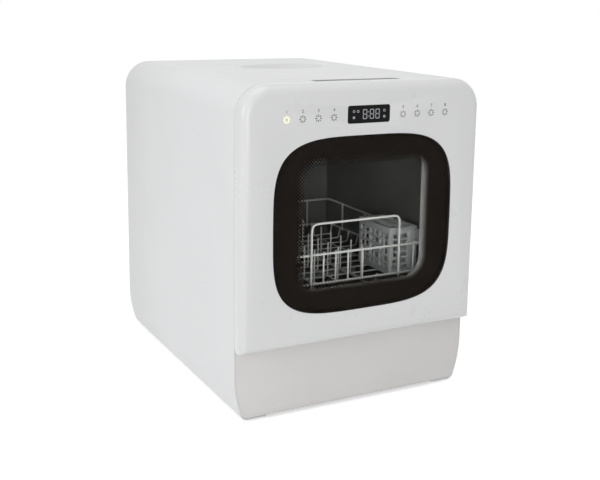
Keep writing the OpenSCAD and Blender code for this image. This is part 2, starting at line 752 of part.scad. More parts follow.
module inlet_valve() color("ivory") {
    translate([inlet_port_x - 14, tank_y - 14, port_z - 14]) cube([28, 28, 28]);
    translate([inlet_port_x, rear_y - 20, port_z]) rotate([90, 0, 0]) cylinder(r = 9, h = rear_y - 20 - tank_y);
}

module hose_spigots() color("dimgray") for (x = [drain_port_x, inlet_port_x]) translate([x, 0, port_z])
    difference() {
        union() {
            translate([0, rear_y, 0]) rotate([90, 0, 0]) cylinder(r = 15, h = 3);
            translate([0, y_back - 0.5, 0]) rotate([90, 0, 0])
                cylinder(r = 10.5, h = y_back - 0.5 - rear_y + 20);
        }
        translate([0, y_back + 1, 0]) rotate([90, 0, 0]) cylinder(r = 8, h = 18);
    }

module power_inlet() color("black") translate([power_x, 0, port_z]) difference() {
    union() {
        translate([-20, rear_y - 2, -17]) cube([40, 2, 34]);
        translate([-16, rear_y - 22, -12]) cube([32, 24.5, 24]);
    }
    translate([-12.5, rear_y - 14, -8.5]) cube([25, 40, 17]);
}

module air_duct() color("gray") translate([fan_x, 0, fan_z]) difference() {
    translate([-fan_s/2, y_tub_back, -fan_s/2]) cube([fan_s, 20, fan_s]);
    translate([-fan_s/2 + 3, y_tub_back - 1, -fan_s/2 + 3]) cube([fan_s - 6, 30, fan_s - 6]);
}

module drying_heater() color("goldenrod") translate([fan_x, 0, fan_z]) {
    for (i = [-4:4]) translate([-fan_s/2 + 3, y_tub_back + 4, 8*i - 1.2]) cube([fan_s - 6, 10, 2.4]);
    for (x = [-24, 0, 24]) translate([x - 2, y_tub_back + 4.5, -fan_s/2 + 3]) cube([4, 9, fan_s - 6]);
}

module fan_housing() color("black") translate([fan_x, fan_y, fan_z]) {
    difference() {
        translate([-fan_s/2, 0, -fan_s/2]) cube([fan_s, fan_t, fan_s]);
        translate([0, -1, 0]) rotate([-90, 0, 0]) cylinder(r = fan_r + 1.5, h = fan_t + 2);
    }
    for (a = [45:90:315]) rotate([0, a, 0]) translate([10, fan_t - 3, -2]) cube([fan_r - 8, 3, 4]);
    translate([0, fan_t - 4, 0]) rotate([-90, 0, 0]) cylinder(r = 14, h = 4);
    translate([0, fan_t - 12, 0]) rotate([-90, 0, 0]) cylinder(r = 2, h = 10, $fn = 32);
}

module fan_rotor() color("dimgray") translate([fan_x, fan_y, fan_z]) difference() {
    union() {
        translate([0, 3, 0]) rotate([-90, 0, 0]) cylinder(r = 14, h = fan_t - 8);
        for (a = [0:45:315]) rotate([0, a, 0]) translate([12, 10, 0]) rotate([28, 0, 0])
            translate([0, -7, -0.8]) cube([fan_r - 13, 14, 1.6]);
    }
    translate([0, 8, 0]) rotate([-90, 0, 0]) cylinder(r = 2 + run, h = fan_t, $fn = 32);
}

tray_w = 142;
tray_h = 98;
tray_x = 76;
tray_z = tank_z - 8 - tray_h/2;
module board_tray() color("whitesmoke") translate([tray_x, 0, tray_z]) difference() {
    translate([-tray_w/2, rear_y - 26, -tray_h/2]) cube([tray_w, 26, tray_h]);
    translate([-tray_w/2 + 2, rear_y - 27, -tray_h/2 + 2]) cube([tray_w - 4, 25, tray_h - 4]);
}

module main_board() color("darkgreen") translate([tray_x, 0, tray_z]) {
    translate([-64, rear_y - 8, -42]) cube([128, 1.6, 84]);
    for (x = [-1, 1], z = [-1, 1])
        translate([x*58, rear_y - 2, z*36]) rotate([90, 0, 0]) cylinder(r = 3, h = 5);
    translate([-50, rear_y - 22, 10]) cube([30, 14, 24]);
    translate([-10, rear_y - 20, 12]) cube([18, 12, 20]);
    translate([16, rear_y - 20, 12]) cube([18, 12, 20]);
    translate([-44, rear_y - 8, -20]) rotate([90, 0, 0]) cylinder(r = 9, h = 15);
    translate([-18, rear_y - 12, -28]) cube([60, 4, 14]);
}

module rear_screws() color("silver") {
    along_y(rear_y - 4, rear_y + rear_t + 0.5) screw_spots() circle(1.5, $fn = 24);
    along_y(rear_y + rear_t, rear_y + rear_t + 1.3) screw_spots() circle(3.2, $fn = 32);
}

/* ---- door ---- */

module door_panel() color("whitesmoke") difference() {
    door_solid(0, y_door);
    door_solid(door_wall, y_door + 1);
    hull() {
        along_y(y_front - eps, y_front) win_outline(dish_edge);
        along_y(y_glass, y_glass + eps) win_outline(0.6);
    }
    along_y(y_front - 1, skin_y + 1) win_outline(fit);
    along_y(y_front - 1, skin_y + 1) translate([0, disp_z]) round_rect(disp_w + 2*fit, disp_h + 2*fit, 3);
    along_y(y_front - 1, skin_y + 1) key_spots() circle(3 + fit, $fn = 32);
    mirror_x() translate([arm_x - 3, hinge_y - hinge_in - 1, door_z - 1])
        cube([plate_x + 6 - arm_x + 3, 40, 17]);
    bottom_edge_cut();
}

// takes the lower back edge off on an arc about the hinge axis
module bottom_edge_cut() difference() {
    translate([-body_x - 1, hinge_y, door_z - 1]) cube([body_w + 2, hinge_in + 5, hinge_in + 1]);
    translate([-body_x - 2, hinge_y, hinge_z]) rotate([0, 90, 0]) cylinder(r = hinge_in, h = body_w + 4, $fn = 96);
}

module key_spots() for (s = [-1, 1], i = [0:key_n - 1]) translate([s*(key_x + i*key_step), key_z]) children();

module window_glass() color("black") along_y(y_glass, y_glass + glass_t) win_outline(0);

module glass_seal() color("dimgray") along_y(skin_y, y_glass + glass_t) difference() {
    win_outline(7);
    win_outline(fit);
}

module clear_zone(out) translate([0, clear_z]) round_rect(2*(clear_a + out), 2*(clear_b + out), 30 + out);

// black ring behind the glass with a tunnel that reaches the inner glass
module window_retainer() color("black") difference() {
    ring_y = y_glass + glass_t;
    union() {
        along_y(ring_y, ring_y + 6) win_outline(7);
        along_y(ring_y, plug_y - 5 - fit) clear_zone(spacer_t);
    }
    along_y(ring_y - 1, plug_y) clear_zone(0);
}

liner_in = door_wall + fit;
module door_liner() color("dimgray") difference() {
    union() {
        along_y(flange_y, flange_y + flange_t) intersection() {
            door_outline(liner_in);
            translate([-body_x, hinge_z + 3]) square([body_w, body_h]);
        }
        along_y(flange_y, plug_y) translate([0, tub_cz]) round_rect(plug_w, plug_h, tub_r);
        // catch tongue, its top an arc about the hinge axis
        intersection() {
            translate([-7, flange_y, hinge_z + catch_r - 7]) cube([14, catch_y + 7 - flange_y, 10]);
            translate([-9, hinge_y, hinge_z]) rotate([0, 90, 0]) cylinder(r = catch_r, h = 18, $fn = 360);
        }
    }
    along_y(flange_y - 1, plug_y - 2) translate([0, tub_cz]) round_rect(plug_w - 4, plug_h - 4, tub_r - 2);
    along_y(flange_y - 1, plug_y + 1) translate([0, clear_z])
        round_rect(2*(clear_a + lip_gap), 2*(clear_b + lip_gap), 30);
    mirror_x() translate([arm_x - 1, flange_y - 1, hinge_z]) cube([40, 10, 11]);
}

module inner_glass() color("lightblue") along_y(plug_y - 5, plug_y - 2) translate([0, clear_z])
    round_rect(2*(clear_a + lip_gap + 6), 2*(clear_b + lip_gap + 6), 30);

module display_lens() color("black") {
    along_y(y_front + 0.5, skin_y + 1) translate([0, disp_z]) round_rect(disp_w, disp_h, 3);
    along_y(skin_y, skin_y + 1) translate([0, disp_z]) round_rect(disp_w + 6, disp_h + 4, 3);
}

board_y = skin_y + 5;
module control_board() color("darkgreen") {
    translate([-140, board_y, disp_z - 20]) cube([280, 1.6, 32]);
    for (x = [-130, 130]) translate([x, board_y, disp_z + 8]) rotate([90, 0, 0])
        cylinder(r = 3, h = board_y - skin_y);
    translate([-32, skin_y + 1, disp_z - 11]) cube([64, board_y - skin_y - 1, 22]);
}

module key_lights() color("lemonchiffon") along_y(y_front + 0.2, board_y) key_spots() circle(3, $fn = 32);

module hinge_arms() color("slategray") mirror_x() difference() {
    union() {
        translate([arm_x, hinge_y, hinge_z]) rotate([0, 90, 0]) cylinder(r = hinge_in - 0.5, h = arm_t);
        translate([arm_x, flange_y - 8, hinge_z]) cube([arm_t, 8, 70]);
    }
    translate([arm_x - 1, hinge_y, hinge_z]) rotate([0, 90, 0]) cylinder(r = pin_r + run, h = arm_t + 2);
}

/* ---- moving pieces ---- */

module catch_lever() color("dimgray") difference() {
    union() {
        translate([-9, catch_pin_y, catch_pin_z]) rotate([0, 90, 0]) cylinder(r = 4, h = 18, $fn = 48);
        translate([-9, catch_y, roller_z]) rotate([0, 90, 0]) cylinder(r = roller_r, h = 18, $fn = 48);
        mirror_x() translate([6, 0, 0]) hull() {
            translate([0, catch_pin_y, catch_pin_z]) rotate([0, 90, 0]) cylinder(r = 3.2, h = 3, $fn = 32);
            translate([0, catch_y, roller_z]) rotate([0, 90, 0]) cylinder(r = 3.2, h = 3, $fn = 32);
        }
    }
    translate([-10, catch_pin_y, catch_pin_z]) rotate([0, 90, 0]) cylinder(r = 2 + run, h = 20, $fn = 32);
}

module tub_float() color("white") translate([float_x, float_y, 0]) {
    translate([0, 0, tub_z + 1]) cylinder(r = 15, h = 14);
    translate([0, 0, tub_z - 8]) cylinder(r = 4, h = 10);
}

module tank_float() color("white") translate([rod_x, tank_y, tank_z + tank_t + fit]) difference() {
    cylinder(r = 13, h = 16);
    translate([0, 0, -1]) cylinder(r = rod_r + run, h = 20);
}

// wire bent at each of a list of points
module bent_wire(points, r) {
    for (i = [0:len(points) - 2]) bar(points[i], points[i + 1], r);
    for (i = [1:len(points) - 2]) translate(points[i]) sphere(r + 0.15, $fn = 24);
}

// end of a wire that rises from a bend and passes the inner side of a rail, as [across, up]
function rising_end(across, up) = let (
    lean = atan2(up, across) + asin(rail_in/norm([across, up])),
    len = sqrt(across*across + up*up - rail_in*rail_in) + 2)
    [len*cos(lean), len*sin(lean)];

upper_z = rail_z + rail_h;
long_z = grid_z - 2*thin_r - touch; // long wires, under the cross wires
long_in = 11;                      // their bends, from the front and back rails
up_r = thin_r + 0.2;
up_in = wire_r + up_r + touch;
// the two rails of the rack
module wire_rack() color("gainsboro") for (z = [rail_z, upper_z]) translate([0, rack_mid, z])
    wire_loop(2*rack_x, rack_back - rack_front, rack_r, wire_r);

// bent wires: eleven across the floor of the rack and four along it, their ends up against the
// lower rail, and the tall front loop
module cross_wires() color("gainsboro") {
    across = rising_end(rack_x - grid_x, rail_z - grid_z);
    for (i = [-5:5]) let (y = rack_mid + i*(rack_back - rack_front - 2*rack_r - 10)/10)
        bent_wire([[-grid_x - across[0], y, grid_z + across[1]], [-grid_x, y, grid_z], [grid_x, y, grid_z],
            [grid_x + across[0], y, grid_z + across[1]]], thin_r);
    along = rising_end(long_in, rail_z - long_z);
    for (x = [-120, -52, 52, 120])
        bent_wire([[x, rack_front + long_in - along[0], long_z + along[1]], [x, rack_front + long_in, long_z],
            [x, rack_back - long_in, long_z], [x, rack_back - long_in + along[0], long_z + along[1]]], thin_r);
    translate([loop_x, rack_front - loop_gap, 0]) {
        r = 11;
        top = upper_z + loop_h;
        for (s = [-1, 1]) {
            bar([s*loop_w/2, 0, rail_z - 5], [s*loop_w/2, 0, top - r], wire_r);
            translate([s*(loop_w/2 - r), 0, top - r]) rotate([90, 0, 0]) rotate(s > 0 ? 0 : 90)
                rotate_extrude(angle = 90, $fn = 48) translate([r, 0]) circle(wire_r, $fn = 24);
        }
        bar([r - loop_w/2, 0, top], [loop_w/2 - r, 0, top], wire_r);
    }
}

module upright(x, y) bar([x, y, rail_z - 3], [x, y, upper_z + 3], up_r);

// straight wires: five rows of prongs, each row on its own carrier, and the uprights on the
// inner side of both rails
module plate_prongs() color("gainsboro") {
    for (i = [0:4]) translate([-112 + i*40, 0, grid_z + 2*thin_r + touch]) {
        y0 = rack_mid - 4*prong_step;
        bar([0, y0 - 6, 0], [0, y0 + 8*prong_step + 6, 0], thin_r);
        for (k = [0:8]) bar([0, y0 + k*prong_step, thin_r + touch],
            [0, y0 + k*prong_step, k > 4 && i < 3 ? prong_h + 34 : prong_h], thin_r);
    }
    for (x = [-110, -38, -18, 2.5, 27, 116]) upright(x, rack_front + up_in);
    for (x = [-110, -30, 30, 110]) upright(x, rack_back - up_in);
    for (y = [-110, -35, 35, 110]) mirror_x() upright(rack_x - up_in, rack_mid + y);
}

cell_d = (bask_d - bask_t)/3;
rib = 3.2;                         // bars between the slots of the basket
side_slots = 6;
side_rows = 5;
end_rows = 6;
module cutlery_basket() color("lightgray") translate([bask_x, bask_y, bask_z]) difference() {
    side_step = (bask_d - 10)/side_slots;
    side_rise = (bask_h - 12)/side_rows;
    end_rise = (bask_h - 12)/end_rows;
    union() {
        translate([-bask_w/2, -bask_d/2, 0]) cube([bask_w, bask_d, bask_h]);
        translate([bask_w/2 - 16, -bask_d/2 - 5, bask_h - 26]) cube([16, 5, 24]);
    }
    for (i = [0:2]) translate([-bask_w/2 + bask_t, -bask_d/2 + bask_t + i*cell_d, bask_t])
        cube([bask_w - 2*bask_t, cell_d - bask_t, bask_h]);
    for (i = [0:side_slots - 1], k = [0:side_rows - 1])
        translate([-bask_w, -bask_d/2 + 5 + i*side_step + rib/2, 8 + k*side_rise])
        cube([2*bask_w, side_step - rib, side_rise - rib]);
    for (k = [0:end_rows - 1])
        translate([-bask_w/2 + 6, -bask_d, 8 + k*end_rise]) cube([bask_w - 25, 2*bask_d, end_rise - rib]);
    for (i = [0:2], x = [-1, 1], y = [-1, 1])
        translate([x*10 - 6, -bask_d/2 + bask_t + (i + 0.5)*cell_d + y*7 - 4, -1]) cube([12, 8, 5]);
}

tab_t = 1.6;
module basket_lid() color("lightgray") translate([bask_x, bask_y, bask_z + bask_h + fit]) difference() {
    union() {
        translate([-bask_w/2, -bask_d/2, 0]) cube([bask_w, bask_d, 2.4]);
        // tabs that hold it over the end walls
        translate([-16, -bask_d/2 - fit - tab_t, 0]) cube([20, bask_d + 2*(fit + tab_t), 2.4]);
        for (s = [-1, 1]) translate([-16, s*(bask_d/2 + fit + tab_t/2) - tab_t/2, -6]) cube([20, tab_t, 7]);
    }
    for (i = [0:6], x = [-1, 1]) translate([x*11 - 8, -bask_d/2 + 8 + i*(bask_d - 16)/7 + 1.5, -1])
        cube([16, (bask_d - 16)/7 - 3, 5]);
}

cabinet_shell();
rear_panel();
base_pan();
plinth_panel();
feet();
front_frame();
frame_posts();
hinge_brackets();
tub();
insulation_felt();
door_gasket();
switches();
sump();
filter_plate();
spray_hub();
hub_nut();
feed_pipe();
tub_heater();
wash_pump();
pump_motor();
pump_mounts();
drain_pump();
hoses();
water_tank();
fill_dish();
fill_duct();
transfer_pump();
inlet_valve();
hose_spigots();
power_inlet();
air_duct();
drying_heater();
fan_housing();
board_tray();
main_board();
rear_screws();
door_panel();
window_glass();
glass_seal();
window_retainer();
door_liner();
inner_glass();
display_lens();
control_board();
key_lights();
hinge_arms();
catch_lever();
spray_arm();
filter_cup();
pump_impeller();
drain_impeller();
fan_rotor();
fill_cap();
tub_float();
tank_float();
wire_rack();
cross_wires();
plate_prongs();
cutlery_basket();
basket_lid();
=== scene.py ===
# Countertop dishwasher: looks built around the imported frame.
# Metres, +Z up, front towards -Y, standing surface at Z = 0.
import json
import math

import bmesh
import bpy
from mathutils import Matrix, Vector


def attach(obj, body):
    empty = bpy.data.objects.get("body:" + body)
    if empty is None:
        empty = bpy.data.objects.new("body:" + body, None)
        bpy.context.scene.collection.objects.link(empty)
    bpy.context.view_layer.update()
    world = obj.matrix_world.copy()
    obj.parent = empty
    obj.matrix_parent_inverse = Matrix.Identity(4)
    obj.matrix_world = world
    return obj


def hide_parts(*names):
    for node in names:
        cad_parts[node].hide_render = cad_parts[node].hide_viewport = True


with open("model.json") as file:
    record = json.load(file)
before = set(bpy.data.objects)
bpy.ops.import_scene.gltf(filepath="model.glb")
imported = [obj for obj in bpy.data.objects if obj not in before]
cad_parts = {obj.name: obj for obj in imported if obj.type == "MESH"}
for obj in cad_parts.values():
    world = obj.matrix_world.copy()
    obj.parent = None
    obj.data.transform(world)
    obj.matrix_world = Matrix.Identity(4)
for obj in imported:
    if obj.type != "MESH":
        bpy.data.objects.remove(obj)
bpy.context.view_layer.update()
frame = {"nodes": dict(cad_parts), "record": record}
nodes = frame["nodes"]

# sizes shared by several pieces, metres
body = dict(wide=0.380, front=-0.244, doorBack=-0.220, caseFront=-0.219, back=0.244, top=0.470,
            doorFoot=0.106, topRadius=0.042, foot=0.003)
window = dict(halfWide=0.1435, halfTall=0.124, power=3.95, z=0.273, glassFront=-0.242, glassBack=-0.238,
              dish=0.009, clearWide=0.111, clearTall=0.098, clearZ=0.275, clearRadius=0.020)
tub = dict(wide=0.316, tall=0.308, middleZ=0.276, radius=0.020)
controls = dict(keyZ=0.4235, keyX=0.055, keyStep=0.0237, perSide=4, displayZ=0.426)
past = 0.01  # how far a cutter runs past what it cuts
outside = 0.3  # beyond every piece, measured from the middle


# small tools

def clearSelection():
    bpy.ops.object.select_all(action="DESELECT")


def take(piece):
    clearSelection()
    piece.select_set(True)
    bpy.context.view_layer.objects.active = piece
    return piece


def settle(piece, name=None):
    take(piece)
    if name:
        piece.name = piece.data.name = name
    bpy.ops.object.transform_apply(location=True, rotation=True, scale=True)
    return piece


def addBox(name, low, high):
    clearSelection()
    low, high = Vector(low), Vector(high)
    bpy.ops.mesh.primitive_cube_add(size=1, location=(low + high)/2)
    bpy.context.object.scale = high - low
    return settle(bpy.context.object, name)


def addRound(name, centre, radius, depth, along="Z", sides=48, topRadius=None):
    clearSelection()
    turn = dict(X=(0, math.pi/2, 0), Y=(-math.pi/2, 0, 0), Z=(0, 0, 0))[along]
    if topRadius is None:
        bpy.ops.mesh.primitive_cylinder_add(vertices=sides, radius=radius, depth=depth, location=centre,
                                            rotation=turn)
    else:
        bpy.ops.mesh.primitive_cone_add(vertices=sides, radius1=radius, radius2=topRadius, depth=depth,
                                        location=centre, rotation=turn)
    return settle(bpy.context.object, name)


def edit(piece, kind, test):
    # enters edit mode with only the edges, faces or points that pass the test selected
    take(piece)
    bpy.ops.object.mode_set(mode="EDIT")
    bpy.ops.mesh.select_mode(type=kind)
    bpy.ops.mesh.select_all(action="DESELECT")
    mesh = bmesh.from_edit_mesh(piece.data)
    group = dict(EDGE=mesh.edges, FACE=mesh.faces, VERT=mesh.verts)[kind]
    for part in group:
        part.select_set(bool(test(part)))
    mesh.select_flush_mode()
    bmesh.update_edit_mesh(piece.data)


def leave():
    bpy.ops.object.mode_set(mode="OBJECT")


def bevelEdges(piece, test, offset, segments):
    edit(piece, "EDGE", test)
    bpy.ops.mesh.bevel(offset=offset, segments=segments, affect="EDGES", clamp_overlap=True)
    leave()
    return piece


def removeFaces(piece, test):
    edit(piece, "FACE", test)
    bpy.ops.mesh.delete(type="FACE")
    leave()
    return piece


def modify(piece, kind, **values):
    take(piece)
    added = piece.modifiers.new(kind.lower(), kind)
    for name, value in values.items():
        setattr(added, name, value)
    bpy.ops.object.modifier_apply(modifier=added.name)
    return piece


def roundEdges(piece, width, segments=2, sharp=50):
    # every edge sharper than the angle, in degrees
    return modify(piece, "BEVEL", width=width, segments=segments, limit_method="ANGLE",
                  angle_limit=math.radians(sharp))


def cut(piece, cutter):
    modify(piece, "BOOLEAN", operation="DIFFERENCE", solver="EXACT", object=cutter)
    bpy.data.objects.remove(cutter)
    return piece


def merge(name, parts):
    clearSelection()
    for part in parts:
        part.select_set(True)
    bpy.context.view_layer.objects.active = parts[0]
    if len(parts) > 1:
        bpy.ops.object.join()
    joined = bpy.context.view_layer.objects.active
    joined.name = joined.data.name = name
    return joined


def weld(piece, reach=1e-6, flat=0):
    # joins the points that lie together, and the faces that are flat to within an angle in degrees
    take(piece)
    bpy.ops.object.mode_set(mode="EDIT")
    bpy.ops.mesh.select_all(action="SELECT")
    bpy.ops.mesh.remove_doubles(threshold=reach)
    if flat:
        bpy.ops.mesh.dissolve_limited(angle_limit=math.radians(flat))
    leave()
    return piece


def outward(piece):
    take(piece)
    bpy.ops.object.mode_set(mode="EDIT")
    bpy.ops.mesh.select_all(action="SELECT")
    bpy.ops.mesh.normals_make_consistent(inside=False)
    mesh = bmesh.from_edit_mesh(piece.data)
    if mesh.calc_volume(signed=True) < 0:
        bpy.ops.mesh.flip_normals()
    leave()
    return piece


def smooth(piece, angle=35):
    take(piece)
    bpy.ops.object.shade_smooth_by_angle(angle=math.radians(angle))
    return piece


def edgeAt(edge, axis, value, reach=1e-5):
    return all(abs(v.co[axis] - value) < reach for v in edge.verts)


def runsAlong(edge, axis, cosine=0.999):
    run = (edge.verts[1].co - edge.verts[0].co).normalized()
    return abs(run[axis]) > cosine


def squircle(grow, steps):
    # points of the window's outline, grown outwards
    points = []
    for i in range(steps):
        turn = math.tau*i/steps
        c, s = math.cos(turn), math.sin(turn)
        x = (window["halfWide"] + grow)*math.copysign(abs(c)**(2/window["power"]), c)
        z = (window["halfTall"] + grow)*math.copysign(abs(s)**(2/window["power"]), s)
        points.append((x, window["z"] + z))
    return points


def squircleSlab(name, frontGrow, frontY, backGrow, backY, steps=96):
    slab = addRound(name, (0, 0, 0), 1, 1, along="Z", sides=steps)
    front, back = squircle(frontGrow, steps), squircle(backGrow, steps)
    for point in slab.data.vertices:
        turn = math.atan2(point.co.y, point.co.x)
        i = round(turn/math.tau*steps) % steps
        x, z = front[i] if point.co.z < 0 else back[i]
        point.co = (x, frontY if point.co.z < 0 else backY, z)
    return outward(slab)


def roundedSlab(name, centreX, centreZ, wide, tall, radius, frontY, backY, segments=10):
    slab = addBox(name, (centreX - wide/2, frontY, centreZ - tall/2),
                  (centreX + wide/2, backY, centreZ + tall/2))
    return bevelEdges(slab, lambda e: runsAlong(e, 1), radius, segments)


def rounded(points, radius, steps=5, closed=False):
    # a path through the points with a bend at each corner
    points = [Vector(p) for p in points]
    path = []
    for i, here in enumerate(points):
        if not closed and i in (0, len(points) - 1):
            path.append(here)
            continue
        before, after = points[i - 1] - here, points[(i + 1) % len(points)] - here
        reach = radius*math.tan((math.pi - before.angle(after))/2)
        reach = min(reach, before.length*0.49, after.length*0.49)
        start, end = here + before.normalized()*reach, here + after.normalized()*reach
        for k in range(steps + 1):
            t = k/steps
            path.append(start.lerp(here, t).lerp(here.lerp(end, t), t))
    return path


def domed(path, radius):
    # path and thickness along it, with a rounded tip at each end
    tips = ((0.02, 0.08), (0.13, 0.5), (0.5, 0.87), (1.0, 1.0))
    first, last = (path[1] - path[0]).normalized(), (path[-2] - path[-1]).normalized()
    head = [(path[0] + first*radius*back, wide) for back, wide in tips]
    tail = [(path[-1] + last*radius*back, wide) for back, wide in reversed(tips)]
    return head + [(p, 1.0) for p in path[1:-1]] + tail


def rods(name, runs, sides=12):
    # runs: (path, radius, closed) or (points with their own thickness, radius, None)
    unit = 0.001
    curve = bpy.data.curves.new(name, "CURVE")
    curve.dimensions = "3D"
    curve.bevel_depth = unit
    curve.bevel_resolution = (sides - 4)//2
    curve.use_fill_caps = True
    for path, radius, closed in runs:
        shaped = [(p, 1.0) for p in path] if closed else path if closed is None else domed(path, radius)
        line = curve.splines.new("POLY")
        line.points.add(len(shaped) - 1)
        line.use_cyclic_u = bool(closed)
        for point, (place, wide) in zip(line.points, shaped):
            point.co = (*place, 1)
            point.radius = radius*wide/unit
    holder = bpy.data.objects.new(name, curve)
    bpy.context.scene.collection.objects.link(holder)
    take(holder)
    bpy.ops.object.convert(target="MESH")
    return outward(weld(settle(bpy.context.object, name)))


def slabRing(name, outer, inner, frontY, backY):
    # outer and inner are (wide, tall, radius) about the tub's middle
    slab = roundedSlab(name, 0, tub["middleZ"], *outer, frontY, backY)
    return cut(slab, roundedSlab("ringCutter", 0, tub["middleZ"], *inner, frontY - past, backY + past))


def finish(piece, bodyName, material, replaces=(), angle=35):
    smooth(piece, angle)
    piece.data.materials.clear()
    piece.data.materials.append(material)
    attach(piece, bodyName)
    if replaces:
        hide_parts(*replaces)
    return piece


# materials

def startMaterial(name):
    material = bpy.data.materials.new(name)
    material.use_nodes = True
    tree = material.node_tree
    shader = tree.nodes["Principled BSDF"]
    where = tree.nodes.new("ShaderNodeTexCoord")
    return material, tree, shader, where.outputs["Object"]


def feed(tree, node, values):
    # fixed values and incoming sockets, by the input's name or number
    for name, value in values.items():
        if isinstance(value, bpy.types.NodeSocket):
            tree.links.new(value, node.inputs[name])
        else:
            node.inputs[name].default_value = value
    return node


def add(tree, kind, values):
    return feed(tree, tree.nodes.new("ShaderNode" + kind), values)


def calc(tree, kind, *values):
    node = tree.nodes.new("ShaderNodeMath")
    node.operation = kind
    return feed(tree, node, dict(enumerate(values))).outputs[0]


def noiseAt(tree, place, scale, detail=3, stretch=None, rough=0.5):
    if stretch:
        place = add(tree, "Mapping", {"Scale": stretch, "Vector": place}).outputs["Vector"]
    noise = add(tree, "TexNoise", {"Scale": scale, "Detail": detail, "Roughness": rough, "Vector": place})
    return noise.outputs["Fac"]


def ramp(tree, value, low, high):
    # low and high are (position, colour)
    node = add(tree, "ValToRGB", {"Fac": value})
    for element, (at, color) in zip(node.color_ramp.elements, (low, high)):
        element.position = at
        element.color = (*color, 1)
    return node.outputs["Color"]


def spread(tree, value, low, high):
    # the middle of a noise's range, spread from low to high
    limits = {"From Min": 0.3, "From Max": 0.7, "To Min": low, "To Max": high}
    return add(tree, "MapRange", {"Value": value, **limits}).outputs["Result"]


def bump(tree, height, distance):
    return add(tree, "Bump", {"Distance": distance, "Strength": 1.0, "Height": height}).outputs["Normal"]


def shade(color, by):
    return tuple(min(1, c*by) for c in color)


def coatedMaterial(name, color, rough, grain, depth, variation, patch=9, metallic=0.0, coat=0.0,
                   specular=0.5):
    # a painted, moulded or cast surface: slow colour drift, fine grain, uneven gloss
    material, tree, shader, place = startMaterial(name)
    feed(tree, shader, {
        "Base Color": ramp(tree, noiseAt(tree, place, patch, 4), (0.3, shade(color, 1 - variation)),
                           (0.7, shade(color, 1 + variation))),
        "Roughness": spread(tree, noiseAt(tree, place, patch*4, 3), rough*0.88, rough*1.12),
        "Normal": bump(tree, noiseAt(tree, place, grain, 2), depth),
        "Metallic": metallic, "Coat Weight": coat, "Coat Roughness": 0.08, "Specular IOR Level": specular})
    return material


def brushedMaterial(name, color, rough, direction=(40, 1200, 1200)):
    # rolled or drawn metal with fine lines along one way
    material, tree, shader, place = startMaterial(name)
    lines = noiseAt(tree, place, 1, 4, direction)
    feed(tree, shader, {
        "Base Color": ramp(tree, lines, (0.25, shade(color, 0.86)), (0.75, shade(color, 1.08))),
        "Roughness": spread(tree, lines, rough*0.75, rough*1.3),
        "Normal": bump(tree, lines, 0.000012), "Metallic": 1.0})
    return material


def zincMaterial(name, color):
    # zinc plating: faint crystal patches
    material, tree, shader, place = startMaterial(name)
    cells = add(tree, "TexVoronoi", {"Scale": 220, "Vector": place}).outputs["Color"]
    feed(tree, shader, {
        "Base Color": ramp(tree, cells, (0.2, shade(color, 0.97)), (0.8, shade(color, 1.03))),
        "Roughness": spread(tree, noiseAt(tree, place, 300, 3), 0.28, 0.45),
        "Normal": bump(tree, noiseAt(tree, place, 500, 3), 0.00001), "Metallic": 1.0})
    return material


def rubberMaterial(name, color):
    # matt rubber with a little dust
    material, tree, shader, place = startMaterial(name)
    feed(tree, shader, {
        "Base Color": ramp(tree, noiseAt(tree, place, 45, 6, rough=0.7), (0.4, color),
                           (0.8, shade(color, 1.5))),
        "Roughness": spread(tree, noiseAt(tree, place, 120, 4), 0.55, 0.75),
        "Normal": bump(tree, noiseAt(tree, place, 1400, 3), 0.00004), "Specular IOR Level": 0.35})
    return material


def feltMaterial(name, color):
    # loose fibres in clumps
    material, tree, shader, place = startMaterial(name)
    fibres = noiseAt(tree, place, 1, 6, (700, 260, 700), 0.75)
    clumps = noiseAt(tree, place, 70, 5, rough=0.7)
    feed(tree, shader, {
        "Base Color": ramp(tree, fibres, (0.3, shade(color, 0.6)), (0.7, shade(color, 1.5))),
        "Normal": bump(tree, calc(tree, "ADD", fibres, clumps), 0.0006),
        "Roughness": 0.95, "Sheen Weight": 0.3, "Specular IOR Level": 0.1})
    return material


def boardMaterial(name, color):
    # solder mask with copper tracks under it
    material, tree, shader, place = startMaterial(name)
    turned = add(tree, "Mapping", {"Rotation": (math.pi/2, 0, 0), "Vector": place})
    tracks = add(tree, "TexBrick", {
        "Scale": 90, "Mortar Size": 0.02, "Vector": turned.outputs["Vector"], "Color1": (*color, 1),
        "Color2": (*shade(color, 0.8), 1), "Mortar": (*shade(color, 2.2), 1)})
    feed(tree, shader, {
        "Base Color": tracks.outputs["Color"],
        "Roughness": spread(tree, noiseAt(tree, place, 200, 2), 0.25, 0.4),
        "Normal": bump(tree, tracks.outputs["Fac"], 0.00003)})
    return material


def glassMaterial(name, color):
    # thin coated glass, so it hardly reflects or bends the light
    material, tree, shader, place = startMaterial(name)
    feed(tree, shader, {
        "Base Color": (*color, 1), "Transmission Weight": 1.0, "IOR": 1.015,
        "Roughness": spread(tree, noiseAt(tree, place, 30, 4), 0.01, 0.03),
        "Normal": bump(tree, noiseAt(tree, place, 6, 2), 0.00004)})
    return material


def glowMaterial(name, color, strength):
    # print lit from behind
    material, tree, shader, place = startMaterial(name)
    tint = ramp(tree, noiseAt(tree, place, 700, 2), (0.35, shade(color, 0.92)), (0.65, shade(color, 1.0)))
    feed(tree, shader, {
        "Base Color": tint, "Emission Color": tint, "Emission Strength": strength, "Roughness": 0.5})
    return material


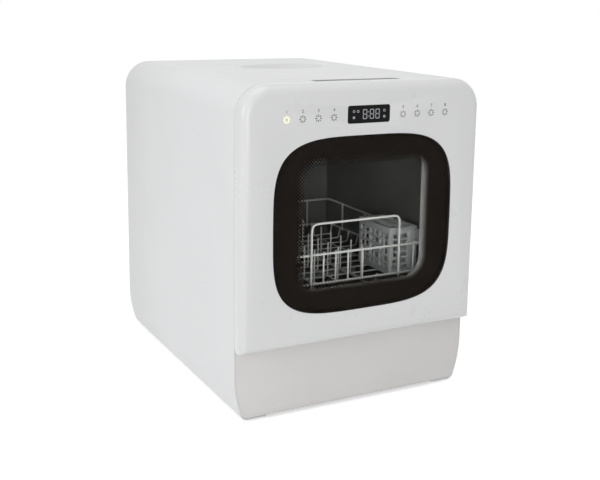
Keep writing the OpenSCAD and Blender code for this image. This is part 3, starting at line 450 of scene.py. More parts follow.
finishes = dict(
    whiteSteel=(0.800, 0.806, 0.812), whitePlastic=(0.770, 0.774, 0.778), plinth=(0.745, 0.735, 0.720),
    greyPlastic=(0.130, 0.134, 0.138), tub=(0.150, 0.148, 0.138), black=(0.012, 0.012, 0.012),
    display=(0.012, 0.012, 0.012), window=(0.97, 0.97, 0.96), innerGlass=(0.90, 0.91, 0.90),
    rubber=(0.022, 0.022, 0.022), gasket=(0.050, 0.050, 0.050), felt=(0.075, 0.075, 0.080),
    steel=(0.62, 0.63, 0.65), stainless=(0.66, 0.66, 0.65), motor=(0.22, 0.23, 0.25), tank=(0.62, 0.66, 0.70),
    aluminium=(0.80, 0.80, 0.80), circuit=(0.010, 0.070, 0.030), arm=(0.30, 0.31, 0.32),
    basket=(0.62, 0.63, 0.65), wire=(0.66, 0.66, 0.65), print=(0.035, 0.035, 0.035), digit=(0.30, 0.31, 0.33),
    spacer=(0.60, 0.60, 0.59), lit=(1.0, 0.96, 0.55))

# name in Blender, roughness, grain per metre, grain depth in metres, colour drift, and what else differs
coats = dict(
    whiteSteel=("whitePowderCoat", 0.38, 700, 3e-5, 0.012, {}),
    whitePlastic=("whiteMoulding", 0.30, 420, 3e-6, 0.004, dict(patch=5, coat=0.3)),
    plinth=("plinthMoulding", 0.42, 1300, 2e-5, 0.02, {}),
    greyPlastic=("greyMoulding", 0.5, 900, 3e-5, 0.08, {}),
    tub=("tubMoulding", 0.42, 650, 8e-6, 0.12, dict(patch=14)),
    black=("blackMoulding", 0.45, 1200, 3e-5, 0.2, {}),
    spacer=("spacerMoulding", 0.4, 1100, 2e-5, 0.04, {}),
    tank=("tankMoulding", 0.4, 400, 4e-5, 0.05, {}),
    arm=("sprayArmMoulding", 0.45, 900, 3e-5, 0.08, {}),
    basket=("basketMoulding", 0.45, 900, 3e-5, 0.06, {}),
    wire=("coatedWire", 0.30, 600, 4e-5, 0.04, dict(patch=60, coat=0.3)),
    motor=("castMotorCan", 0.45, 500, 6e-5, 0.1, dict(metallic=1.0)),
    display=("displayLens", 0.22, 40, 1e-5, 0.1, dict(specular=0.06)),
    print=("printedGrey", 0.5, 2000, 1e-5, 0.15, dict(patch=300)))
coated = {key: coatedMaterial(name, finishes[key], *values, **more)
          for key, (name, *values, more) in coats.items()}
coatedWire, basketPlastic, printedGrey = coated["wire"], coated["basket"], coated["print"]
blackRubber = rubberMaterial("blackRubber", finishes["rubber"])
gasketRubber = rubberMaterial("gasketRubber", finishes["gasket"])
felt = feltMaterial("soundFelt", finishes["felt"])
windowClear = glassMaterial("windowGlass", finishes["window"])
digitGrey = glowMaterial("displayDigits", finishes["digit"], 0.35)
litYellow = glowMaterial("litKey", finishes["lit"], 0.75)
print("materials made")

slotFinish = dict(
    white_steel=coated["whiteSteel"], white_plastic=coated["whitePlastic"], panel_grey=coated["plinth"],
    grey_plastic=coated["greyPlastic"], rubber=blackRubber,
    steel=zincMaterial("zincSheet", finishes["steel"]),
    stainless=brushedMaterial("stainless", finishes["stainless"], 0.28), tub_grey=coated["tub"], felt=felt,
    black_plastic=coated["black"], motor_metal=coated["motor"], tank_plastic=coated["tank"],
    aluminium=brushedMaterial("aluminiumFins", finishes["aluminium"], 0.35, (900, 900, 60)),
    circuit=boardMaterial("circuitBoard", finishes["circuit"]), window_glass=windowClear,
    clear_glass=glassMaterial("innerGlass", finishes["innerGlass"]), display_black=coated["display"],
    key_light=litYellow, arm_grey=coated["arm"], coated_wire=coatedWire, basket_grey=basketPlastic)
for part in frame["record"]["subparts"]:
    cad = nodes[part["node"]]
    cad.data.materials.clear()
    cad.data.materials.append(slotFinish[part["material_slot"]])
print("frame dressed:", len(nodes), "nodes")


# door

door = dict(edgeRadius=0.014, wall=0.0025, lip=0.0004, dishGap=0.0025, dishLip=0.0006, windowGap=0.0003,
            cutFront=-0.250, cutBack=-0.236, displayHole=(0.0676, 0.0246, 0.0033), topSteps=14, edgeSteps=8,
            hinge=(0, -0.228, 0.114), swing=0.008, cornerLow=(-0.2, -0.2281, 0.104),
            cornerHigh=(0.2, -0.2150, 0.1139), notchX=(0.1675, 0.1825), notchY=(-0.237, -0.197),
            notchZ=(0.105, 0.122))


def makeDoorPanel():
    half = body["wide"]/2
    panel = addBox("doorPanel", (-half, body["front"], body["doorFoot"]),
                   (half, body["doorBack"], body["top"]))
    bevelEdges(panel, lambda e: runsAlong(e, 1) and edgeAt(e, 2, body["top"]), body["topRadius"],
               door["topSteps"])
    bevelEdges(panel, lambda e: edgeAt(e, 1, body["front"]), door["edgeRadius"], door["edgeSteps"])
    removeFaces(panel, lambda f: f.normal.y > 0.9)
    modify(panel, "SOLIDIFY", thickness=door["wall"], offset=-1, use_even_offset=True)
    cut(panel, squircleSlab("dishCutter", window["dish"] + door["dishGap"], body["front"] - door["dishLip"],
                            door["dishLip"], window["glassFront"]))
    cut(panel, squircleSlab("windowCutter", door["windowGap"], door["cutFront"], door["windowGap"],
                            door["cutBack"]))
    cut(panel, roundedSlab("displayCutter", 0, controls["displayZ"], *door["displayHole"], door["cutFront"],
                           door["cutBack"]))
    # lower back edge rounded about the hinge line
    swing = addRound("swing", door["hinge"], door["swing"], 0.5, along="X", sides=64)
    cut(panel, cut(addBox("corner", door["cornerLow"], door["cornerHigh"]), swing))
    for side in (-1, 1):
        left, right = sorted(side*x for x in door["notchX"])
        (front, back), (low, high) = door["notchY"], door["notchZ"]
        cut(panel, addBox("armNotch", (left, front, low), (right, back, high)))
    roundEdges(panel, door["lip"])
    return finish(panel, "door", coated["whitePlastic"], ["door_panel"])


makeDoorPanel()


def makeWindow():
    gap, edge = 0.0002, 0.0007
    pane = squircleSlab("windowPane", -gap, window["glassFront"], -gap, window["glassBack"])
    roundEdges(pane, edge, 3)
    finish(pane, "door", windowClear, ["window_glass"])
    pane.visible_shadow = False


makeWindow()


# printed black border behind the pane, breaking up into dots towards the clear zone
border = dict(y=-0.2379, thick=0.0001, inset=0.0006, dotPitch=0.0052, fadeWide=0.016, firstDot=0.24,
              lastDot=0.75, color=(0.0095, 0.0074, 0.0062, 1), cutFront=-0.25, cutBack=-0.23)


def borderMaterial():
    material, tree, shader, place = startMaterial("printedBorder")
    split = add(tree, "SeparateXYZ", {0: place})
    x, z = split.outputs["X"], split.outputs["Z"]

    def of(kind, *values):
        return calc(tree, kind, *values)

    def length(a, b):
        return of("SQRT", of("ADD", of("POWER", a, 2), of("POWER", b, 2)))

    # distance outside a rounded rectangle, in metres
    inner, fade = window["clearRadius"], border["fadeWide"]
    fromMiddle = of("ABSOLUTE", of("SUBTRACT", z, window["clearZ"]))
    acrossX = of("SUBTRACT", of("ABSOLUTE", x), window["clearWide"] - fade - inner)
    acrossZ = of("SUBTRACT", fromMiddle, window["clearTall"] - fade - inner)
    far = length(of("MAXIMUM", acrossX, 0), of("MAXIMUM", acrossZ, 0))
    depth = of("DIVIDE", of("SUBTRACT", far, inner), fade)
    # dots in a diagonal lattice whose radius grows outwards
    offsets = [of("SUBTRACT", of("FRACT", of("DIVIDE", of(way, x, z), border["dotPitch"])), 0.5)
               for way in ("ADD", "SUBTRACT")]
    size = of("ADD", of("MULTIPLY", depth, border["lastDot"] - border["firstDot"]), border["firstDot"])
    feed(tree, shader, {"Base Color": border["color"], "Roughness": 0.5, "Specular IOR Level": 0.02,
                        "Alpha": of("LESS_THAN", length(*offsets), size)})
    return material


def makeBorder():
    layer = squircleSlab("windowBorder", -border["inset"], border["y"], -border["inset"],
                         border["y"] + border["thick"])
    opening = roundedSlab("clearCutter", 0, window["clearZ"], 2*(window["clearWide"] - border["fadeWide"]),
                          2*(window["clearTall"] - border["fadeWide"]), window["clearRadius"],
                          border["cutFront"], border["cutBack"])
    finish(cut(layer, opening), "door", borderMaterial())


makeBorder()

ring = dict(grow=0.0068, front=-0.2377, back=-0.2320, tunnelBack=-0.2133, wall=0.0016, radius=0.030,
            sealFront=-0.2414, sealBack=-0.2381, sealInner=0.0004, cutFront=-0.25, cutBack=-0.20,
            sealCutBack=-0.22, cornerSteps=14, retainerEdge=0.0006, spacerEdge=0.0004, sealEdge=0.0009)


def makeWindowRing():
    wide, tall, wall, steps = 2*window["clearWide"], 2*window["clearTall"], ring["wall"], ring["cornerSteps"]
    black = squircleSlab("windowRetainer", ring["grow"], ring["front"], ring["grow"], ring["back"])
    cut(black, roundedSlab("retainerCutter", 0, window["clearZ"], wide, tall, ring["radius"],
                           ring["cutFront"], ring["cutBack"]))
    roundEdges(black, ring["retainerEdge"])
    finish(black, "door", coated["black"], ["window_retainer"])

    pale = roundedSlab("windowSpacer", 0, window["clearZ"], wide + 2*wall, tall + 2*wall,
                       ring["radius"] + wall, ring["back"], ring["tunnelBack"], steps)
    cut(pale, roundedSlab("spacerCutter", 0, window["clearZ"], wide, tall, ring["radius"], ring["cutFront"],
                          ring["cutBack"], steps))
    roundEdges(pale, ring["spacerEdge"])
    finish(pale, "door", coated["spacer"], ["window_retainer"])

    seal = squircleSlab("glassSeal", ring["grow"], ring["sealFront"], ring["grow"], ring["sealBack"])
    cut(seal, squircleSlab("sealCutter", ring["sealInner"], ring["cutFront"], ring["sealInner"],
                           ring["sealCutBack"]))
    roundEdges(seal, ring["sealEdge"], 3)
    finish(seal, "door", gasketRubber, ["glass_seal"])


makeWindowRing()


# controls

display = dict(wide=0.0668, tall=0.0238, corner=0.003, edge=0.0005, front=-0.2437, back=-0.2405,
               raised=0.00008, sunk=0.0001, digitTall=0.0135, digitWide=0.0068, stroke=0.0011,
               digitsX=(-0.0065, 0.0045, 0.0135), colonX=-0.0010, colonUp=0.0030, dot=0.0007,
               symbolUp=0.0042, symbol=0.0019,
               symbols=((-0.0240, 1), (-0.0175, 1), (-0.0240, -1), (0.0245, 1), (0.0245, -1)),
               hole={1: 0.0011, -1: 0.0006}, holeDeep=0.001, printThick=0.0002)


def makeDisplay():
    lens = roundedSlab("displayLens", 0, controls["displayZ"], display["wide"], display["tall"],
                       display["corner"], display["front"], display["back"])
    roundEdges(lens, display["edge"], 3)
    finish(lens, "door", coated["display"], ["display_lens"])


def segmentBars(x, z):
    # the seven bars of one digit
    w, h, s = display["digitWide"], display["digitTall"], display["stroke"]
    y0, y1 = display["front"] - display["raised"], display["front"] + display["sunk"]
    bars = []
    for level in (-1, 0, 1):
        bars.append(addBox("bar", (x - w/2 + s*0.7, y0, z + level*(h - s)/2 - s/2),
                           (x + w/2 - s*0.7, y1, z + level*(h - s)/2 + s/2)))
    for side in (-1, 1):
        for half in (-1, 1):
            low = z + (0 if half > 0 else -h/2) + s*0.62
            high = z + (h/2 if half > 0 else 0) - s*0.62
            middle = x + side*(w - s)/2
            bars.append(addBox("bar", (middle - s/2, y0, low), (middle + s/2, y1, high)))
    return bars


def makeDigits():
    y, z = display["front"], controls["displayZ"]
    parts = [bar for x in display["digitsX"] for bar in segmentBars(x, z)]
    for up in (-1, 1):
        parts.append(addRound("colon", (display["colonX"], y, z + up*display["colonUp"]), display["dot"],
                              display["printThick"], along="Y", sides=16))
    for x, up in display["symbols"]:
        place = (x, y, z + up*display["symbolUp"])
        spot = addRound("symbol", place, display["symbol"], display["printThick"], along="Y", sides=20)
        hole = addRound("symbolHole", place, display["hole"][up], display["holeDeep"], along="Y", sides=20)
        parts.append(cut(spot, hole))
    finish(merge("displayDigits", parts), "door", digitGrey)


makeDisplay()
makeDigits()

keys = dict(rays=8, inner=0.0024, outer=0.0052, stroke=0.0011, corner=0.35, thick=0.00012, sunk=0.0001,
            labelTall=0.0060, labelUp=0.0103, labelThick=0.00006, labelSunk=0.00005)


def keyPlaces():
    right = [controls["keyX"] + i*controls["keyStep"] for i in range(controls["perSide"])]
    return sorted(side*x for side in (-1, 1) for x in right)


def makeKey(number, x):
    # short rays about a point, the first key's lit
    y0, y1, half = body["front"] - keys["thick"], body["front"] + keys["sunk"], keys["stroke"]/2
    rays = []
    for i in range(keys["rays"]):
        ray = addBox("ray", (keys["inner"], y0, -half), (keys["outer"], y1, half))
        bevelEdges(ray, lambda e: runsAlong(e, 1), keys["stroke"]*keys["corner"], 2)
        take(ray)
        turn = Matrix.Rotation(math.tau*i/keys["rays"], 4, "Y")
        ray.matrix_world = Matrix.Translation((x, 0, controls["keyZ"])) @ turn
        rays.append(settle(ray))
    key = merge(f"touchKey{number}", rays)
    if number == 1:
        finish(key, "door", litYellow, ["key_lights"])
    else:
        finish(key, "door", printedGrey)


def makeLabel(number, x):
    clearSelection()
    place = (x, body["front"] - keys["labelSunk"], controls["keyZ"] + keys["labelUp"])
    bpy.ops.object.text_add(location=place, rotation=(math.pi/2, 0, 0))
    text = bpy.context.object
    for name, value in dict(body=str(number), size=keys["labelTall"], align_x="CENTER", align_y="CENTER",
                            extrude=keys["labelThick"]).items():
        setattr(text.data, name, value)
    bpy.ops.object.convert(target="MESH")
    finish(weld(settle(text, f"keyNumber{number}")), "door", printedGrey)


for number, x in enumerate(keyPlaces(), 1):
    makeKey(number, x)
    makeLabel(number, x)
print("door made")


# cabinet

wrap = dict(thick=0.0015, tuck=0.013, tuckFrom=0.070, baseRadius=0.012, tuckSteps=10, topSteps=14,
            baseSteps=5, edge=0.0004, openX=0.140, openZ=0.0055, flangeY=(0.2385, 0.2405), flangeLow=0.0305,
            innerLow=0.0200, innerDrop=0.022, innerY=(0.23, 0.25), innerIn=0.014, innerRadius=0.028)
pocket = dict(x=0.069, front=-0.225, back=-0.195, wall=0.0015, floor=0.458, boxBack=-0.1935, boxTop=0.4692,
              mouthBack=-0.200, cutTop=0.480, mouthTop=0.5)
plinth = dict(front=-0.2185, back=-0.2165, low=0.0052, high=0.1028, gap=0.0003)
dish = dict(x=0.020, y=0.062, halfLong=0.080, halfWide=0.050, depth=0.012, gap=0.0004,
            floorRadius=0.018, steps=96, rimDown=0.0014,
            # how far out from the mouth's edge and how high, from the rim over the wall to the floor and back
            rings=((0.0, 0.0), (0.0, 0.0012), (-0.0030, 0.0012), (-0.0045, -0.0010), (-0.010, -0.0066),
                   (-0.020, -0.0118), (None, -0.0120), (None, -0.0145), (-0.017, -0.0138), (-0.0085, -0.0078),
                   (-0.0030, -0.0010)))


def tuckedX(z):
    # half width of the cabinet at a height: straight, then an arc inwards to the foot
    drop = wrap["tuckFrom"] - body["foot"]
    radius = (drop**2 + wrap["tuck"]**2)/(2*wrap["tuck"])
    below = max(0, wrap["tuckFrom"] - z)
    return body["wide"]/2 - radius + math.sqrt(radius**2 - below**2)


def tuckedBox(name, y0, y1, low, high, inset=0.0, topRadius=None):
    half = body["wide"]/2
    box = addBox(name, (-half, y0, low), (half, y1, high))
    for i in range(wrap["tuckSteps"] + 1):
        z = body["foot"] + (wrap["tuckFrom"] - body["foot"])*i/wrap["tuckSteps"]
        if low + 1e-4 < z < high - 1e-4:
            edit(box, "FACE", lambda f: True)
            bpy.ops.mesh.bisect(plane_co=(0, 0, z), plane_no=(0, 0, 1))
            leave()
    for point in box.data.vertices:
        point.co.x = math.copysign(tuckedX(point.co.z) - inset, point.co.x)
    if topRadius:
        bevelEdges(box, lambda e: runsAlong(e, 1) and edgeAt(e, 2, high), topRadius, wrap["topSteps"])
    bevelEdges(box, lambda e: runsAlong(e, 1) and edgeAt(e, 2, low), max(wrap["baseRadius"] - inset, 0.001),
               wrap["baseSteps"])
    return box


def makeWrap():
    shell = tuckedBox("cabinetShell", body["caseFront"], body["back"], body["foot"], body["top"],
                      topRadius=body["topRadius"])
    removeFaces(shell, lambda f: abs(f.normal.y) > 0.9)
    modify(shell, "SOLIDIFY", thickness=wrap["thick"], offset=-1, use_even_offset=True)
    cut(shell, addBox("floorCutter", (-wrap["openX"], -outside, -past),
                      (wrap["openX"], outside, wrap["openZ"])))
    bowl = addRound("bowlCutter", (dish["x"], dish["y"], body["top"]), 1, 0.02, sides=dish["steps"])
    for point in bowl.data.vertices:
        point.co.x = dish["x"] + (point.co.x - dish["x"])*dish["halfLong"]
        point.co.y = dish["y"] + (point.co.y - dish["y"])*dish["halfWide"]
    cut(shell, bowl)
    return cut(shell, addBox("pocketCutter", (-pocket["x"], pocket["front"], pocket["floor"]),
                             (pocket["x"], pocket["back"], pocket["cutTop"])))


def makePocket():
    # finger pocket behind the top edge of the door
    out = pocket["x"] + pocket["wall"]
    box = addBox("pocket", (-out, body["caseFront"], pocket["floor"] - pocket["wall"]),
                 (out, pocket["boxBack"], pocket["boxTop"]))
    removeFaces(box, lambda f: f.normal.z > 0.9)
    modify(box, "SOLIDIFY", thickness=pocket["wall"], offset=-1, use_even_offset=True)
    return cut(box, addBox("mouthCutter", (-pocket["x"], -outside, pocket["floor"]),
                           (pocket["x"], pocket["mouthBack"], pocket["mouthTop"])))


def makeCabinet():
    flange = tuckedBox("rearFlange", *wrap["flangeY"], wrap["flangeLow"], body["top"] - wrap["thick"],
                       inset=wrap["thick"], topRadius=body["topRadius"] - wrap["thick"])
    inner = tuckedBox("flangeCutter", *wrap["innerY"], wrap["innerLow"], body["top"] - wrap["innerDrop"],
                      inset=wrap["innerIn"], topRadius=wrap["innerRadius"])
    shell = merge("cabinetShell", [makeWrap(), makePocket(), cut(flange, inner)])
    finish(roundEdges(shell, wrap["edge"]), "cabinet", coated["whiteSteel"], ["cabinet_shell"])


def makePlinth():
    panel = tuckedBox("plinthPanel", plinth["front"], plinth["back"], plinth["low"], plinth["high"],
                      inset=wrap["thick"] + plinth["gap"])
    finish(roundEdges(panel, wrap["edge"]), "cabinet", coated["plinth"], ["plinth_panel"])


def makeFillDish():
    # a drum whose rings of points become the ovals of the rim, wall and floor
    clearSelection()
    bpy.ops.mesh.primitive_circle_add(vertices=dish["steps"], radius=1)
    bowl = settle(bpy.context.object, "fillDish")
    bpy.ops.object.mode_set(mode="EDIT")
    for _ in dish["rings"][1:]:
        bpy.ops.mesh.extrude_region_move(TRANSFORM_OT_translate={"value": (0, 0, -1)})
    leave()
    for point in bowl.data.vertices:
        grow, z = dish["rings"][round(-point.co.z)]
        reach = math.hypot(point.co.x, point.co.y)
        long, wide = (dish["floorRadius"] if grow is None else dish[half] + grow - dish["gap"]
                      for half in ("halfLong", "halfWide"))
        point.co = (dish["x"] + long*point.co.x/reach, dish["y"] + wide*point.co.y/reach,
                    body["top"] + z - (dish["rimDown"] if z > 0 else 0))
    edit(bowl, "EDGE", lambda e: e.is_boundary)
    bpy.ops.mesh.bridge_edge_loops()
    leave()
    finish(outward(bowl), "cabinet", coated["whitePlastic"], ["fill_dish"], angle=40)


cap = dict(up=0.0003, radius=0.024, thick=0.004, edge=0.0012, plug=0.0177, plugLow=-0.0061, plugHigh=0.0001,
           plugEdge=0.0008, gripX=0.014, gripY=0.002, gripZ=(0.003, 0.009), gripTop=0.0015, gripSide=0.0012)


def makeFillCap():
    x, y, top = dish["x"], dish["y"], body["top"] - dish["depth"] + cap["up"]
    disc = addRound("cap", (x, y, top + cap["thick"]/2), cap["radius"], cap["thick"], sides=72)
    bevelEdges(disc, lambda e: edgeAt(e, 2, top + cap["thick"]), cap["edge"], 4)
    plug = addRound("capPlug", (x, y, top + (cap["plugLow"] + cap["plugHigh"])/2), cap["plug"],
                    cap["plugHigh"] - cap["plugLow"], sides=72)
    bevelEdges(plug, lambda e: edgeAt(e, 2, top + cap["plugLow"]), cap["plugEdge"], 3)
    low, high = cap["gripZ"]
    grip = addBox("capGrip", (x - cap["gripX"], y - cap["gripY"], top + low),
                  (x + cap["gripX"], y + cap["gripY"], top + high))
    bevelEdges(grip, lambda e: edgeAt(e, 2, top + high), cap["gripTop"], 4)
    bevelEdges(grip, lambda e: runsAlong(e, 2, 0.95), cap["gripSide"], 3)
    made = merge("fillCap", [disc, plug, grip])
    finish(made, "fill_cap", coated["whitePlastic"], ["fill_cap"])


makeCabinet()
makePlinth()
makeFillDish()
makeFillCap()
print("cabinet made")


# soft parts of the cabinet

gasket = dict(front=-0.2216, back=-0.2191, outer=(0.3256, 0.3096, 0.0288), inner=(0.3084, 0.2924, 0.0202),
              grooveOuter=(0.3200, 0.3040, 0.0260), grooveInner=(0.3140, 0.2980, 0.0230), grooveDeep=0.0012,
              edge=0.0005)


def makeGasket():
    lips = slabRing("doorGasket", gasket["outer"], gasket["inner"], gasket["front"], gasket["back"])
    cut(lips, slabRing("groove", gasket["grooveOuter"], gasket["grooveInner"], gasket["front"] - 0.001,
                       gasket["front"] + gasket["grooveDeep"]))
    finish(roundEdges(lips, gasket["edge"], 3), "cabinet", gasketRubber, ["door_gasket"])


foot = dict(x=0.120, y=0.180, radius=0.013, tall=0.0048, lowEdge=0.0010, highEdge=0.0008, hollow=0.0085,
            hollowDeep=0.0016, hollowSlope=0.001, stud=0.005, studLow=0.0043, studTop=0.0097, studEdge=0.0010)


def makeFeet():
    made = []
    tall, low, high = foot["tall"], foot["studLow"], foot["studTop"]
    for x in (-foot["x"], foot["x"]):
        for y in (-foot["y"], foot["y"]):
            pad = addRound("pad", (x, y, tall/2), foot["radius"], tall, sides=56)
            bevelEdges(pad, lambda e: edgeAt(e, 2, 0), foot["lowEdge"], 4)
            bevelEdges(pad, lambda e: edgeAt(e, 2, tall), foot["highEdge"], 3)
            cut(pad, addRound("hollow", (x, y, 0), foot["hollow"], foot["hollowDeep"], sides=40,
                              topRadius=foot["hollow"] - foot["hollowSlope"]))
            stud = addRound("stud", (x, y, (low + high)/2), foot["stud"], high - low, sides=32)
            bevelEdges(stud, lambda e: edgeAt(e, 2, high), foot["studEdge"], 3)
            made += [pad, stud]
    finish(merge("rubberFeet", made), "cabinet", blackRubber, ["feet"])


mount = dict(x=(0.0760, 0.1040), y=((0.0090, 0.0210), (0.0470, 0.0590)), z=(0.0078, 0.0477), groove=0.0016,
             ribs=4, corner=0.0025, coreCorner=0.0016, halfGroove=0.0013, edge=0.0004)


def makePumpMounts():
    made = []
    (left, right), (low, high), deep = mount["x"], mount["z"], mount["groove"]
    for front, back in mount["y"]:
        block = addBox("block", (left, front, low), (right, back, high))
        bevelEdges(block, lambda e: runsAlong(e, 2), mount["corner"], 4)
        for i in range(mount["ribs"]):
            z = low + (high - low)*(i + 1)/(mount["ribs"] + 1)
            groove = addBox("groove", (left - past, front - past, z - mount["halfGroove"]),
                            (right + past, back + past, z + mount["halfGroove"]))
            core = addBox("core", (left + deep, front + deep, z - past),
                          (right - deep, back - deep, z + past))
            bevelEdges(core, lambda e: runsAlong(e, 2), mount["coreCorner"], 3)
            cut(block, cut(groove, core))
        made.append(roundEdges(block, mount["edge"]))
    finish(merge("pumpMounts", made), "cabinet", blackRubber, ["pump_mounts"])


hose = dict(drain=((0.024, -0.061, 0.055), (0.024, 0.130, 0.055), (-0.120, 0.130, 0.052),
                   (-0.120, 0.2205, 0.052)), drainRadius=0.0079,
            fill=((-0.060, 0.196, 0.066), (-0.060, 0.196, 0.200)), fillRadius=0.0054,
            bend=0.016, cuff=0.014, pitch=0.0036, waist=0.92, swell=0.08)


def corrugated(points, radius):
    # even points along the bent path; the wall swells and narrows between the plain cuffs
    path = rounded(points, hose["bend"], 8)
    lengths = [(b - a).length for a, b in zip(path, path[1:])]
    total, steps = sum(lengths), round(sum(lengths)/(hose["pitch"]/4))
    out = []
    for i in range(steps + 1):
        along, part = total*i/steps, 0
        while part < len(lengths) - 1 and along > lengths[part]:
            along -= lengths[part]
            part += 1
        place = path[part].lerp(path[part + 1], min(1, along/lengths[part]))
        here = total*i/steps
        plain = here < hose["cuff"] or here > total - hose["cuff"]
        wave = math.cos(math.tau*(here - hose["cuff"])/hose["pitch"])
        out.append((place, 1.0 if plain else hose["waist"] + hose["swell"]*wave))
    return (out, radius, None)


def makeHoses():
    for name, way, sides in (("drainHose", "drain", 20), ("fillHose", "fill", 16)):
        tube = rods(name, [corrugated(hose[way], hose[way + "Radius"])], sides)
        finish(tube, "cabinet", blackRubber, ["hoses"])


blanket = dict(front=-0.1918, back=0.1458, inner=0.0024, outer=0.0052, low=0.1622, edge=0.0008)


def makeFelt():
    outer, inner = ((tub["wide"] + 2*by, tub["tall"] + 2*by, tub["radius"] + by)
                    for by in (blanket["outer"], blanket["inner"]))
    sheet = slabRing("insulationFelt", outer, inner, blanket["front"], blanket["back"])
    cut(sheet, addBox("below", (-outside, -outside, 0.0), (outside, outside, blanket["low"])))
    finish(roundEdges(sheet, blanket["edge"]), "cabinet", felt, ["insulation_felt"])


makeGasket()
makeFeet()
makePumpMounts()
makeHoses()
makeFelt()
print("soft parts made")


# rack and basket

rack = dict(x=0.154, front=-0.1952, back=0.136, corner=0.014, railLow=0.178, railHigh=0.221, rail=0.00175,
            thin=0.0012, crossX=0.1475, crossZ=0.162, crossStep=0.02932, crossRise=(0.00398, 0.01858),
            longX=(-0.120, -0.052, 0.052, 0.120), longZ=0.15955, longIn=0.011, longRise=(0.00902, 0.02145),
            upright=0.0014, uprightIn=0.0032, uprightOver=0.003, bend=0.0035,
            frontX=(-0.110, -0.038, -0.018, 0.0025, 0.027, 0.116), backX=(-0.110, -0.030, 0.030, 0.110),
            sideY=(-0.110, -0.035, 0.035, 0.110))
loop = dict(x=0.012, wide=0.147, y=-0.19875, foot=0.173, top=0.267, corner=0.011)
prongs = dict(firstX=-0.112, rowStep=0.040, rows=5, firstY=-0.1536, step=0.031, pins=9, carrierZ=0.16445,
              tall=0.052, tallRear=0.086, tallRows=3, tallFrom=5, over=0.006, gap=0.00005)
rackMiddle = (rack["front"] + rack["back"])/2


def makeRackFrame():
    rails = []
    for z in (rack["railLow"], rack["railHigh"]):
        corners = [(x, y, z) for x, y in ((-rack["x"], rack["front"]), (rack["x"], rack["front"]),
                                          (rack["x"], rack["back"]), (-rack["x"], rack["back"]))]
        rails.append((rounded(corners, rack["corner"], 10, closed=True), rack["rail"], True))
    finish(rods("rackRails", rails, 16), "rack", coatedWire, ["wire_rack"], angle=60)


def makeBentWires():
    runs = []
    for i in range(-5, 6):
        y, (out, up) = rackMiddle + i*rack["crossStep"], rack["crossRise"]
        points = [(-rack["crossX"] - out, y, rack["crossZ"] + up), (-rack["crossX"], y, rack["crossZ"]),
                  (rack["crossX"], y, rack["crossZ"]), (rack["crossX"] + out, y, rack["crossZ"] + up)]
        runs.append((rounded(points, rack["bend"]), rack["thin"], False))
    for x in rack["longX"]:
        near, far, z = rack["front"] + rack["longIn"], rack["back"] - rack["longIn"], rack["longZ"]
        out, up = rack["longRise"]
        points = [(x, near - out, z + up), (x, near, z), (x, far, z), (x, far + out, z + up)]
        runs.append((rounded(points, rack["bend"]), rack["thin"], False))
    left, right = loop["x"] - loop["wide"]/2, loop["x"] + loop["wide"]/2
    points = [(left, loop["y"], loop["foot"]), (left, loop["y"], loop["top"]),
              (right, loop["y"], loop["top"]), (right, loop["y"], loop["foot"])]
    runs.append((rounded(points, loop["corner"], 10), rack["rail"], False))
    finish(rods("bentWires", runs, 12), "rack", coatedWire, ["cross_wires"], angle=60)


def makeProngs():
    first, last = prongs["firstY"], prongs["firstY"] + (prongs["pins"] - 1)*prongs["step"]
    lines = []
    for row in range(prongs["rows"]):
        x, z = prongs["firstX"] + row*prongs["rowStep"], prongs["carrierZ"]
        lines.append(((x, first - prongs["over"], z), (x, last + prongs["over"], z), rack["thin"]))
        for pin in range(prongs["pins"]):
            y = first + pin*prongs["step"]
            rear = pin >= prongs["tallFrom"] and row < prongs["tallRows"]
            base = z + rack["thin"] + prongs["gap"]
            lines.append(((x, y, base), (x, y, z + prongs["tallRear" if rear else "tall"]), rack["thin"]))
    low, high = rack["railLow"] - rack["uprightOver"], rack["railHigh"] + rack["uprightOver"]
    spots = [(x, rack["front"] + rack["uprightIn"]) for x in rack["frontX"]]
    spots += [(x, rack["back"] - rack["uprightIn"]) for x in rack["backX"]]
    spots += [(side*(rack["x"] - rack["uprightIn"]), rackMiddle + y)
              for side in (-1, 1) for y in rack["sideY"]]
    lines += [((x, y, low), (x, y, high), rack["upright"]) for x, y in spots]
    runs = [([Vector(start), Vector(end)], radius, False) for start, end, radius in lines]
    finish(rods("plateProngs", runs, 12), "rack", coatedWire, ["plate_prongs"], angle=60)


basket = dict(x=0.121, y=-0.1112, z=0.1635, wide=0.050, deep=0.092, tall=0.070, wall=0.0024, rib=0.0032,
              cells=3, columns=6, rows=5, endRows=6, sideIn=0.005, lowIn=0.008, deepIn=0.010, tallIn=0.012,
              corner=0.0018, slotCorner=0.0008, endSlot=(0.006, 0.031), floorStep=(0.010, 0.007),
              floorHalf=(0.006, 0.004), floorCorner=0.0010, floorZ=(-0.001, 0.004), block=0.016,
              blockOut=0.005, blockIn=0.0003, blockZ=(0.026, 0.002), blockEdge=0.0012)
lid = dict(gap=0.0003, thick=0.0024, slots=7, slotIn=0.008, slotEnds=0.016, slotGap=0.0015, slotX=0.011,
           slotHalf=0.008, over=0.003, slotCorner=0.0015, edge=0.0004, tab=0.0016, tabX=(-0.016, 0.004),
           tabDown=0.006, tabUp=0.001, tabIn=0.0004, tabEdge=0.0005)
basketX = (basket["x"] - basket["wide"]/2, basket["x"] + basket["wide"]/2)
basketY = (basket["y"] - basket["deep"]/2, basket["y"] + basket["deep"]/2)


def slotCutter(name, boxes, along, corner, segments=2):
    # one cutter from (low, high) corners, its edges along one axis rounded
    slots = merge(name, [addBox("slot", low, high) for low, high in boxes])
    return bevelEdges(slots, lambda e: runsAlong(e, along), corner, segments)


